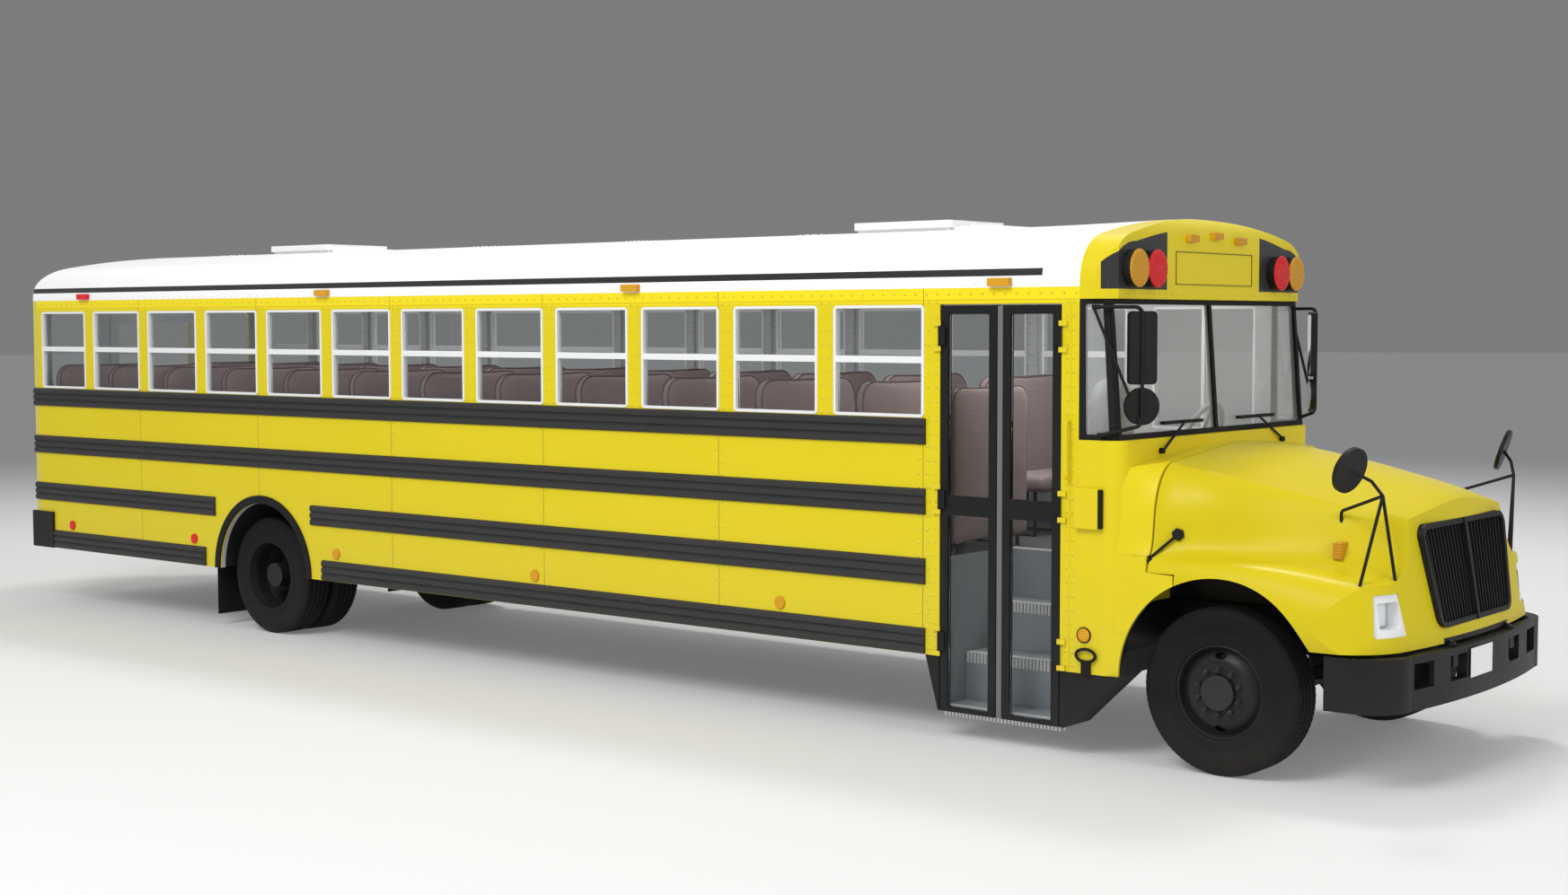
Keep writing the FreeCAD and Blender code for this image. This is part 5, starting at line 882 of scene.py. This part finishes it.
def frontFaces():
    # the domed disc with two oval holes and the hub cap that stand out from each front rim
    hub, out, plate = (wheelFace[k] for k in ("hub", "hubOut", "plateOut"))
    section = [
        (0.2, 0.04), (0.252, 0.05), (0.2612, 0.112), (0.2605, 0.119), (0.257, 0.1206), (0.251, 0.1196),
        (0.2455, 0.113), (0.2415, 0.1), (0.2395, 0.083), (0.2365, 0.077), (0.23, 0.079), (0.218, 0.089),
        (0.203, 0.102), (0.187, 0.112), (0.172, 0.1175), (0.164, 0.1185), (0.162, 0.1212), (0.16, plate),
        (hub + 0.001, plate), (hub, 0.124), (hub, out - 0.004), (hub - 0.004, out),
    ]
    cap = [(hub - 0.003, out - 0.006), (hub - 0.003, out + 0.0005), (hub - 0.006, out + 0.002)]
    for label, side in (("right", -1), ("left", 1)):
        x, z = axleOf(f"wheel_front_{label}")
        centre = (x, side * track, z)
        dome = lathePart(section, centre, count=72, side=side)
        face = shaped("wheelFace" + label.title(), [dome], "rimBlack")
        for way in (-1, 1):
            holeZ = z + way * wheelFace["holeAt"]
            long, high = wheelFace["holeLong"], wheelFace["holeHigh"]
            oval = [(x + long * a, holeZ + high * b) for a, b in circle(24)]
            rows = [[(a, side * (track + depth), b) for a, b in oval] for depth in wheelFace["holeDepth"]]
            cutAway(face, shaped("holeTool", [skinPart(rows)]))
        smoothed(face, 28)
        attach(face, f"front_wheel_{label}")
        disc = shaped("hubCap" + label.title(), [lathePart(cap, centre, count=64, side=side)], "hubPaint")
        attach(disc, f"front_wheel_{label}")


frontFaces()


def wheelNuts(end, label, node, body, face, up, level):
    # ten nuts on a circle; the first stands up or level from the axle
    side = -1 if label == "right" else 1
    rows = []
    for radius, across in wheelFace["nut"]:
        row = []
        for k, (a, b) in enumerate(circle(12)):
            r = radius * (0.93 if k % 2 and radius < 0.02 else 1.0)
            row.append((level + r * a, side * (face + across), up + r * b))
        rows.append(row)
    verts, faces = skinPart(rows)
    if side > 0:
        faces = [tuple(reversed(f)) for f in faces]
    x, z = axleOf(node)
    turned(f"nuts{end}{label.title()}", (verts, faces), 10, (x, 0, z), "wheelNut", body)


for label in ("right", "left"):
    wheelNuts("Front", label, f"wheel_front_{label}", f"front_wheel_{label}",
              track + wheelFace["plateOut"] - 0.001, wheelFace["frontCircle"], 0)
    wheelNuts("Rear", label, f"wheels_rear_{label}", f"rear_wheels_{label}",
              track - twin / 2 + 0.007, 0, wheelFace["rearCircle"])
print("wheels dressed")


# seats

bench = {
    "first": 0.285, "pitch": 0.811, "count": 12, "width": 0.98, "inner": 0.182, "backTall": 0.74,
    "lean": 0.052, "backAt": (0.012, 1.375), "seatDeep": 0.40, "seatAt": (0.092, 1.372), "piping": 0.0055,
    "pipingAt": (0.013, 0.065), "legAt": (0.05, 0.42),
    "legs": [(0.10, 1.39), (0.10, 1.082), (0.40, 1.082), (0.40, 1.39)], "leg": 0.014,
}


def padPart(outline, rings, toSpace):
    # closed cushion: an outline carried through rings of (inset, depth), ending in crowned caps
    count = len(outline)
    centreA, centreB = (sum(p[i] for p in outline) / count for i in (0, 1))
    rows = []
    for inset, depth in rings:
        row = []
        for a, b in outline:
            da, db = a - centreA, b - centreB
            k = max(0.0, 1 - inset / math.hypot(da, db))
            row.append(toSpace(centreA + da * k, centreB + db * k, depth))
        rows.append(row)
    verts, faces = skinPart(rows, capped=False)
    for first, depth in ((0, rings[0][1]), (len(verts) - count, rings[-1][1])):
        verts.append(toSpace(centreA, centreB, depth))
        faces += [(len(verts) - 1, first + k, first + (k + 1) % count) for k in range(count)]
    return verts, faces


def roundedOutline(a0, a1, b0, b1, lowR, highR, pull=0.006):
    # rectangle with rounded corners whose sides pull in slightly between them
    steps, extra = 6, 4
    corners = [(a0 + lowR, b0 + lowR, lowR, 180), (a1 - lowR, b0 + lowR, lowR, 270),
               (a1 - highR, b1 - highR, highR, 0), (a0 + highR, b1 - highR, highR, 90)]
    inward = [(0, 1), (-1, 0), (0, -1), (1, 0)]

    def rim(corner, turn):
        a = math.radians(corner[3] + turn)
        return corner[0] + corner[2] * math.cos(a), corner[1] + corner[2] * math.sin(a)

    points = []
    for n, corner in enumerate(corners):
        points += [rim(corner, 90 * i / steps) for i in range(steps + 1)]
        end, begin = rim(corner, 90), rim(corners[(n + 1) % 4], 0)
        for i in range(1, extra):
            t = i / extra
            sag = pull * math.sin(math.pi * t)
            points.append(tuple(end[j] + (begin[j] - end[j]) * t + inward[n][j] * sag for j in (0, 1)))
    return points


def crownRings(thick, edge, crown, insets=(0.26, 0.18, 0.11, 0.05)):
    # soft edge, then a face that swells towards the middle
    full = 0.26
    rings = [(inset, -crown * math.sin(min(1, inset / full) * math.pi / 2)) for inset in insets]
    rings += [(edge * 0.9, edge * 0.15), (edge * 0.3, edge * 0.45), (0.0, edge)]
    return rings + [(inset, thick - depth) for inset, depth in reversed(rings)]


def benchSeats():
    backOutline = roundedOutline(0.0, bench["width"], 0.0, bench["backTall"], 0.03, 0.13)
    cushionOutline = roundedOutline(0.0, bench["width"], 0.0, bench["seatDeep"], 0.04, 0.05)
    backRings = crownRings(0.078, 0.022, 0.010)
    cushionRings = crownRings(0.104, 0.028, 0.012, (0.18, 0.12, 0.06, 0.04))
    lean = bench["lean"] / bench["backTall"]
    for label, side in (("Right", -1), ("Left", 1)):
        backs, cushions, pipes, legs = [], [], [], []
        for i in range(bench["count"]):
            x = bench["first"] + i * bench["pitch"]

            def backSpace(a, b, depth):
                ahead, up = bench["backAt"]
                return at(x + ahead + depth - lean * b, side * (bench["inner"] + a), up + b)

            def seatSpace(a, b, depth):
                ahead, up = bench["seatAt"]
                return at(x + ahead + b, side * (bench["inner"] + a), up + depth)

            backs.append(padPart(backOutline, backRings, backSpace))
            cushions.append(padPart(cushionOutline, cushionRings, seatSpace))
            for depth in bench["pipingAt"]:
                ring = [backSpace(a, b, depth) for a, b in backOutline]
                pipes.append(tubePart(ring + ring[:1], bench["piping"], 6))
            for y in bench["legAt"]:
                path = [at(x + a, side * (bench["inner"] + y), b) for a, b in bench["legs"]]
                legs.append(tubePart(path, bench["leg"]))
        obj = shaped("seatBacks" + label, backs, "seatCover")
        smoothed(obj)
        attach(obj, "body")
        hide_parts("passenger_seats")
        obj = shaped("seatCushions" + label, cushions, "seatCover")
        smoothed(obj)
        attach(obj, "body")
        obj = joined("seatPiping" + label, pipes, "seatPiping")
        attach(obj, "body")
        obj = joined("seatLegs" + label, legs, "blackPaint")
        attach(obj, "body")


benchSeats()

driver = {
    "insets": (0.14, 0.10, 0.06, 0.04), "backAt": (0.012, 0.42), "lean": 0.02, "seatAt": (0.065, 0.305),
    "foot": (0.15, 0.42, 0.15, 0.0, 0.03), "stem": (0.2, 0.37, 0.1, 0.03, 0.31),
}


def driverSeat():
    low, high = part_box("driver_seat")
    x0, z0, mid = low[0] - rearX, low[2], (low[1] + high[1]) / 2
    backX, backZ = driver["backAt"]
    seatX, seatZ = driver["seatAt"]
    back = roundedOutline(-0.24, 0.24, 0.0, 0.62, 0.05, 0.20)
    seat = roundedOutline(-0.245, 0.245, 0.0, 0.47, 0.06, 0.07)
    pads = [
        padPart(back, crownRings(0.10, 0.03, 0.012, driver["insets"]),
                lambda a, b, d: at(x0 + backX + d - driver["lean"] * b, mid + a, z0 + backZ + b)),
        padPart(seat, crownRings(0.11, 0.03, 0.01, driver["insets"]),
                lambda a, b, d: at(x0 + seatX + b, mid + a, z0 + seatZ + d)),
    ]
    obj = shaped("driverSeatPads", pads, "driverCover")
    smoothed(obj)
    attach(obj, "body")
    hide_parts("driver_seat")
    stand = []
    for key in ("foot", "stem"):
        start, end, half, base, top = driver[key]
        stand.append(boxPart(at(x0 + start, mid - half, z0 + base), at(x0 + end, mid + half, z0 + top)))
    obj = joined("driverSeatStand", stand, "blackPaint")
    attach(obj, "body")


driverSeat()

barrier = {
    "x": 9.778, "thick": 0.056, "y": (-1.03, -0.21), "z": (1.15, 2.085), "floor": 1.078, "piping": 0.005,
    "pipingIn": 0.014, "leg": 0.014, "legIn": 0.08, "legUp": 0.06,
}


def entranceBarrier():
    # padded panel between the entrance steps and the first bench
    (y0, y1), (z0, z1), x, thick = barrier["y"], barrier["z"], barrier["x"], barrier["thick"]
    outline = roundedOutline(y0, y1, z0, z1, 0.03, 0.10)
    pad = padPart(outline, crownRings(thick, 0.018, 0.008), lambda a, b, d: at(x + d, a, b))
    obj = shaped("entranceBarrier", [pad], "seatCover")
    smoothed(obj)
    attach(obj, "body")
    pipes = []
    for depth in (barrier["pipingIn"], thick - barrier["pipingIn"]):
        ring = [at(x + depth, a, b) for a, b in outline]
        pipes.append(tubePart(ring + ring[:1], barrier["piping"], 6))
    obj = joined("barrierPiping", pipes, "seatPiping")
    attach(obj, "body")
    legs = []
    for y in (y0 + barrier["legIn"], y1 - barrier["legIn"]):
        path = column(x + thick / 2, y, barrier["floor"], z0 + barrier["legUp"])
        legs.append(tubePart(path, barrier["leg"], 10))
    obj = joined("barrierLegs", legs, "blackPaint")
    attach(obj, "body")


entranceBarrier()
print("seats made")


# floor, steps and inside

steps = {
    "low": 9.856, "high": 10.693, "nose": (0.190, 0.480, 0.775, 1.075), "first": -1.174, "run": 0.245,
    "firstIn": 0.012, "depth": 0.050, "tall": 0.060, "rib": 0.0145, "ribStep": 0.0248, "ribCount": 33,
    "ribOut": 0.0065, "ribUp": 0.004, "ribIn": 0.008, "stripOut": 0.003, "stripThin": 0.0005,
    "stripUp": 0.001, "stripIn": 0.006,
}


def stepTreads():
    # pale fluted nosings: a backing strip and upright ribs over the edge of each step
    parts = []
    for i, z in enumerate(steps["nose"]):
        edge = steps["first"] + i * steps["run"] + (0 if i else steps["firstIn"])
        start, base = steps["low"] + steps["ribIn"], z - steps["tall"]
        rib = boxPart(at(start, edge - steps["ribOut"], base),
                      at(start + steps["rib"], edge + steps["depth"], z + steps["ribUp"]))
        obj = joined(f"stepRibs{i}", [rib], "stepNosing")
        runTree(obj, "ribs", "stepNosing", {"Count": steps["ribCount"], "Step": (steps["ribStep"], 0, 0)})
        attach(obj, "body")
        parts.append(boxPart(
            at(steps["low"] + steps["stripIn"], edge - steps["stripOut"], base),
            at(steps["high"] - steps["stripIn"], edge - steps["stripThin"], z + steps["stripUp"])))
    obj = joined("stepNosings", parts, "nosingGap")
    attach(obj, "body")


stepTreads()

posts = {
    "behind": 0.0635, "rear": 0.09, "half": 0.035, "deep": 0.022, "clear": 0.0005, "top": 2.66,
    "rivetsIn": 0.023, "beside": 0.02, "rows": (1.96, 2.63), "spacing": 0.07, "radius": 0.007,
}


def insideTrim():
    # window posts and their rivets, seen through the glass
    parts, rows = [], []
    inner = panel["halfWidth"] - panel["wall"]
    for i in range(windows["count"] + 1):
        x = windows["first"] + i * windows["pitch"] - posts["behind"] if i else posts["rear"]
        for side in (-1, 1):
            if side > 0 or x < rivets["panelEnd"]:
                parts.append(boxPart(
                    at(x - posts["half"], side * (inner - posts["deep"]), windows["sill"]),
                    at(x + posts["half"], side * (inner - posts["clear"]), posts["top"])))
            y = side * (inner - posts["rivetsIn"])
            for near in (x - posts["beside"], x + posts["beside"]):
                rows += [column(near, y, *posts["rows"])] if i else []
    obj = joined("windowPosts", parts, "insideGrey")
    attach(obj, "body")
    rivetRows("postRivets", rows, posts["spacing"], posts["radius"], "insideGrey", "body")


insideTrim()

steering = {
    "centre": (10.6297, 0.56, 1.755), "axis": (0.9138, 0.0, -0.4061), "radius": 0.225, "grip": 0.0185,
}


def steeringRing():
    # pale grip round the rim of the steering wheel
    centre = at(*steering["centre"])
    axis = Vector(steering["axis"]).normalized()
    across = Vector((0, 1, 0))
    over = axis.cross(across)
    rows = []
    for a, b in circle(64):
        out = across * a + over * b
        rows.append([
            centre + out * (steering["radius"] + steering["grip"] * c) + axis * (steering["grip"] * d)
            for c, d in circle(10)])
    obj = shaped("steeringRing", [skinPart(rows, closed=True)], "steeringGrey")
    smoothed(obj)
    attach(obj, "body")


steeringRing()


# lamps, sign border and mirrors

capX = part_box("front_cap")[1][0]
lamp = {
    "radius": 0.101, "amber": 1.0, "red": 0.79, "z": 2.788, "rearDrop": 0.02, "drum": 0.052, "scallops": 24,
    "wave": 0.014, "ripple": 0.0011, "ripples": (0.06, 0.1),
    "lens": [
        (0.030, 0.0138), (0.034, 0.0128), (0.066, 0.0124), (0.071, 0.0132), (0.095, 0.0112), (0.104, 0.008),
        (0.1085, 0.003), (0.106, 0.0005),
    ],
}
lampEnds = ((lamp["z"], capX, 1), (lamp["z"] - lamp["rearDrop"], rearX, -1))


def lampDrums():
    # short black drums round the warning lamps
    r, drum = lamp["radius"], lamp["drum"]
    section = [
        (r + 0.0005, 0.0015), (r + 0.003, 0.0015), (r + 0.0045, drum - 0.004), (r + 0.0035, drum),
        (r - 0.004, drum), (r - 0.004, 0.045), (r + 0.0005, 0.040),
    ]
    parts = []
    for z, x, way in lampEnds:
        for y in (-lamp["amber"], -lamp["red"], lamp["red"], lamp["amber"]):
            parts.append(lathePart(section, (x, y, z), axis="X", count=56, side=way, ring=True))
    obj = shaped("lampDrums", parts, "blackRubber")
    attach(obj, "body")


lampDrums()


def lampLenses():
    # scalloped lenses with radial facets at the front of each drum
    rippleFrom, rippleTo = lamp["ripples"]
    for color in ("amber", "red"):
        parts = []
        for z, x, way in lampEnds:
            for side in (-1, 1):
                rows = []
                for r, out in lamp["lens"]:
                    row = []
                    for k, (a, b) in enumerate(circle(96)):
                        wave = math.cos(lamp["scallops"] * 2 * math.pi * k / 96)
                        radius = r * (1 + (lamp["wave"] * wave if r > rippleTo else 0.0))
                        ripple = lamp["ripple"] * wave if rippleFrom < r < rippleTo else 0.0
                        ahead = x + way * (lamp["drum"] + out + ripple)
                        row.append((ahead, side * lamp[color] + radius * a, z + radius * b))
                    rows.append(row)
                parts.append(skinPart(rows))
        obj = shaped(color + "Lenses", parts, color + "Lens")
        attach(obj, "body")


lampLenses()

sign = {"half": 0.483, "z": (2.701, 2.896), "line": 0.005, "out": (0.0004, 0.004)}
capRow = {"in": 0.003, "half": 1.09, "z": 2.645, "spacing": 0.07, "radius": 0.009}


def signBorder():
    # blank sign place: a thin raised border round a plain field, and the rivets under it
    half, (z0, z1), line = sign["half"], sign["z"], sign["line"]
    x0, x1 = (capX + out for out in sign["out"])
    sides = [(-half, half, z0, z0 + line), (-half, half, z1 - line, z1), (-half, line - half, z0, z1),
             (half - line, half, z0, z1)]
    obj = joined("signBorder", [boxPart((x0, a, c), (x1, b, d)) for a, b, c, d in sides], "seamLine")
    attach(obj, "body")
    row = [(capX - capRow["in"], y, capRow["z"]) for y in (-capRow["half"], capRow["half"])]
    rivetRows("capRivets", [row], capRow["spacing"], capRow["radius"], "rivetShadedYellow", "body")


signBorder()

mirror = {
    "x": 11.152, "y": 1.112, "turn": 33.0, "back": -0.040, "depths": (0.0006, 0.003),
    "flat": (-0.078, 0.058, 2.152, 2.528), "corner": 0.022, "round": (-0.010, 2.012, 0.092),
}


def mirrorFaces():
    # flat and round reflecting glass on the rear side of each mirror, turned with its shell
    turn = math.radians(mirror["turn"])
    a0, b0, r = mirror["round"]
    outlines = [
        roundedOutline(*mirror["flat"], mirror["corner"], mirror["corner"], 0.0),
        [(a0 + r * a, b0 + r * b) for a, b in circle(32)],
    ]
    parts = []
    for side in (-1, 1):
        for outline in outlines:
            rows = []
            for depth in mirror["depths"]:
                dx = mirror["back"] - depth
                row = []
                for dy, z in outline:
                    x = mirror["x"] + dx * math.cos(turn) - dy * math.sin(turn)
                    y = mirror["y"] + dx * math.sin(turn) + dy * math.cos(turn)
                    row.append(at(x, side * y, z))
                rows.append(row)
            parts.append(skinPart(rows))
    obj = shaped("mirrorGlass", parts, "mirrorGlass")
    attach(obj, "body")


mirrorFaces()

plate = {"out": (0.0006, 0.004), "y": (-0.283, 0.027), "z": (0.545, 0.705)}


def numberPlate():
    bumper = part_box("front_bumper")[1][0]
    low, high = ((bumper + plate["out"][i], plate["y"][i], plate["z"][i]) for i in (0, 1))
    obj = joined("frontPlate", [boxPart(low, high)], "blankPlate")
    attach(obj, "body")


numberPlate()

sideBits = {
    "wall": -1.2188, "box": (10.799, 10.953, 1.319, 1.549), "boxOut": 0.034, "boxEdge": 0.005,
    "strip": 0.020, "stripGap": 0.0005, "stripIn": 0.004, "stripLow": 0.003, "stripEdge": 0.004,
    "ring": (10.8745, 0.599, 0.0625, 0.036), "ringOut": 0.018, "ringBar": 0.009,
    "shank": (0.026, 0.49, 0.568), "glow": (10.854, 0.712, 0.040),
}


def sideFurniture():
    # control box with a rubber strip, a tow ring and a round reflector ahead of the entrance
    bits, wall = sideBits, sideBits["wall"]
    x0, x1, z0, z1 = bits["box"]
    box = shaped("controlBox", [boxPart(at(x0, wall - bits["boxOut"], z0), at(x1, wall, z1))], "hoodYellow")
    bevelled(box, bits["boxEdge"])
    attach(box, "body")
    low = at(x1 + bits["stripGap"], wall - bits["boxOut"] + bits["stripLow"], z0 + bits["stripIn"])
    high = at(x1 + bits["strip"], wall, z1 - bits["stripIn"])
    strip = shaped("controlStrip", [boxPart(low, high)], "blackRubber")
    bevelled(strip, bits["stripEdge"])
    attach(strip, "body")
    x, z, rx, rz = bits["ring"]
    loop = [at(x + rx * a, wall - bits["ringOut"], z + rz * b) for a, b in circle(32)]
    half, base, top = bits["shank"]
    shank = boxPart(at(x - half, wall - half, base), at(x + half, wall, top))
    ring = shaped("towRing", [tubePart(loop + loop[:1], bits["ringBar"], 10), shank], "blackRubber")
    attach(ring, "body")
    x, z, r = bits["glow"]
    centre = at(x, wall, z)
    rimSection = [(r, 0.0), (r + 0.006, 0.0), (r + 0.005, 0.008), (r, 0.008)]
    rimPart = lathePart(rimSection, centre, count=40, side=-1, ring=True)
    rim = shaped("reflectorRim", [rimPart], "blackRubber")
    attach(rim, "body")
    lensSection = [(r - 0.0005, 0.0), (r - 0.0005, 0.007), (r - 0.008, 0.010)]
    lens = shaped("sideReflector", [lathePart(lensSection, centre, count=40, side=-1)], "amberLens")
    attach(lens, "body")


sideFurniture()

latch = {
    "knob": ("hood", 11.366, 1.306, 0.036, 0.026), "foot": ("cowl", 11.235, 1.170, 0.020, 0.020),
    "castFrom": 2.0, "shell": 1.15, "strap": 0.0085, "strapOut": 0.014, "paddle": 0.019,
    "paddleLong": 0.035, "paddleOut": 0.010,
}


def hoodLatches():
    # rubber draw latches across the seam between hood and cowl
    for label, side in (("Right", -1), ("Left", 1)):
        parts, feet = [], []
        for key in ("knob", "foot"):
            nodeName, x, z, r, tall = latch[key]
            start = at(x, side * latch["castFrom"], z)
            found, spot, out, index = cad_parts[nodeName].ray_cast(start, Vector((0, -side, 0)))
            if not found:
                spot, out = (0, side * latch["shell"], 0), Vector((0, side, 0))
            base = at(x, spot[1], z)
            across = out.orthogonal().normalized()
            over = out.cross(across)
            rows = []
            for level, size in ((0.001, r), (tall * 0.7, r), (tall, r * 0.8)):
                rows.append([base + out * level + (across * a + over * b) * size for a, b in circle(6)])
            parts.append(skinPart(rows))
            feet += [base, out]
        knob, knobOut, foot, footOut = feet
        strap = [knob + knobOut * latch["strapOut"], foot + footOut * latch["strapOut"]]
        parts.append(tubePart(strap, latch["strap"], 8))
        paddle = foot + (foot - knob).normalized() * latch["paddleLong"]
        ends = [foot + footOut * latch["paddleOut"], paddle + footOut * latch["strapOut"]]
        parts.append(tubePart(ends, latch["paddle"], 10))
        obj = shaped("hoodLatch" + label, parts, "blackRubber")
        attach(obj, "body")


hoodLatches()
print("lamps and trim made")


# camera, light and stage

cameraFit = {
    "x": 16.892, "y": -11.289, "z": 2.483, "yaw": 129.266, "pitch": -3.4606, "roll": -0.0843, "lens": 47.41,
    "sensor": 36.0, "clip": 400,
}


def makeCamera():
    yaw, pitch, roll = (math.radians(cameraFit[k]) for k in ("yaw", "pitch", "roll"))
    ahead = Vector((math.cos(pitch) * math.cos(yaw), math.cos(pitch) * math.sin(yaw), math.sin(pitch)))
    right = ahead.cross(Vector((0, 0, 1))).normalized()
    up = right.cross(ahead)
    turnedRight = right * math.cos(roll) + up * math.sin(roll)
    turnedUp = up * math.cos(roll) - right * math.sin(roll)
    data = bpy.data.cameras.new("camera")
    data.sensor_fit = "HORIZONTAL"
    data.sensor_width = cameraFit["sensor"]
    data.lens = cameraFit["lens"]
    data.clip_end = cameraFit["clip"]
    camera = linked("camera", data)
    turn = Matrix((turnedRight, turnedUp, -ahead)).transposed().to_4x4()
    camera.matrix_world = Matrix.Translation(at(cameraFit["x"], cameraFit["y"], cameraFit["z"])) @ turn
    bpy.context.scene.camera = camera


makeCamera()

# glow: the floor glows a little, painted fill light that lifts the shadow under the bus
stage = {
    "glow": 0.13, "floorColor": (0.66, 0.66, 0.66, 1), "farShadeColor": (0.15, 0.15, 0.15, 1), "near": 10.0,
    "far": 27.0, "radius": 160.0, "sunk": 0.001, "roughness": 0.75, "specular": 0.1,
}


def makeStage():
    # a wide pale floor that darkens with distance to the grey of the backdrop, a painted fall-off of light
    verts = [(stage["radius"] * a, stage["radius"] * b, -stage["sunk"]) for a, b in circle(96)]
    material, tree, surface = newMaterial("stageFloor")
    floor = meshObject("stageFloor", verts, [tuple(range(96))], "stageFloor")
    x, y, z = objectAxes(tree)
    flat = put(tree, "ShaderNodeCombineXYZ", {0: x, 1: y})[0]
    far = put(tree, "ShaderNodeVectorMath", {0: flat}, operation="LENGTH")["Value"]
    fade = {"From Min": stage["near"], "From Max": stage["far"], "Value": far}
    # painted fall-off of light: the floor turns grey towards the horizon
    share = Value(tree, put(tree, "ShaderNodeMapRange", fade, interpolation_type="SMOOTHSTEP")[0])
    # the emission is painted fill light in the shadow under the bus
    fill(tree, surface, {
        "Base Color": share.pick(stage["floorColor"], stage["farShadeColor"]), "Roughness": stage["roughness"],
        "Specular IOR Level": stage["specular"], "Emission Color": (1, 1, 1, 1),
        "Emission Strength": stage["glow"]})


makeStage()

world = {"light": (0.55, 0.555, 0.56, 1), "backdrop": (0.203, 0.203, 0.203, 1)}
# place, target, power and size of each studio lamp
studio = {
    "keyLamp": ((3.5, -14.5, 14.0), (0, 0, 1.5), 1850.0, 8.0),
    "backLamp": ((-1.0, 7.0, 17.0), (3.0, 0, 1.0), 1050.0, 3.0),
    "frontLamp": ((19.0, -3.0, 7.0), (5.0, 0, 1.3), 480.0, 6.0),
}
# station, length, width and power of each cabin lamp
cabin = {"cabinLamp": (4.9, 8.8, 0.9, 50.0), "cabinFront": (10.1, 0.9, 1.5, 26.0)}
cabinZ = 2.93


def makeLight():
    sky = bpy.data.worlds.new("studio")
    sky.use_nodes = True
    bpy.context.scene.world = sky
    tree = sky.node_tree
    rays = byName(tree, put(tree, "ShaderNodeLightPath"))
    seen = rays["Is Camera Ray"].maths("MAXIMUM", rays["Is Transmission Ray"])
    back = tree.nodes["Background"].inputs
    fill(tree, back, {"Color": seen.pick(world["light"], world["backdrop"]), "Strength": 1.0})
    for name, (spot, target, power, size) in studio.items():
        data = bpy.data.lights.new(name, "AREA")
        data.energy = power
        data.size = size
        light = linked(name, data)
        light.location = spot
        light.rotation_euler = (Vector(target) - Vector(spot)).to_track_quat("-Z", "Y").to_euler()
    for name, (middle, long, wide, power) in cabin.items():
        data = bpy.data.lights.new(name, "AREA")
        data.shape = "RECTANGLE"
        data.size = long
        data.size_y = wide
        data.energy = power
        light = linked(name, data)
        light.location = at(middle, 0, cabinZ)
        light.visible_camera = light.visible_transmission = light.visible_glossy = False


makeLight()
bpy.context.scene.view_settings.view_transform = "Standard"

print("scene ready")
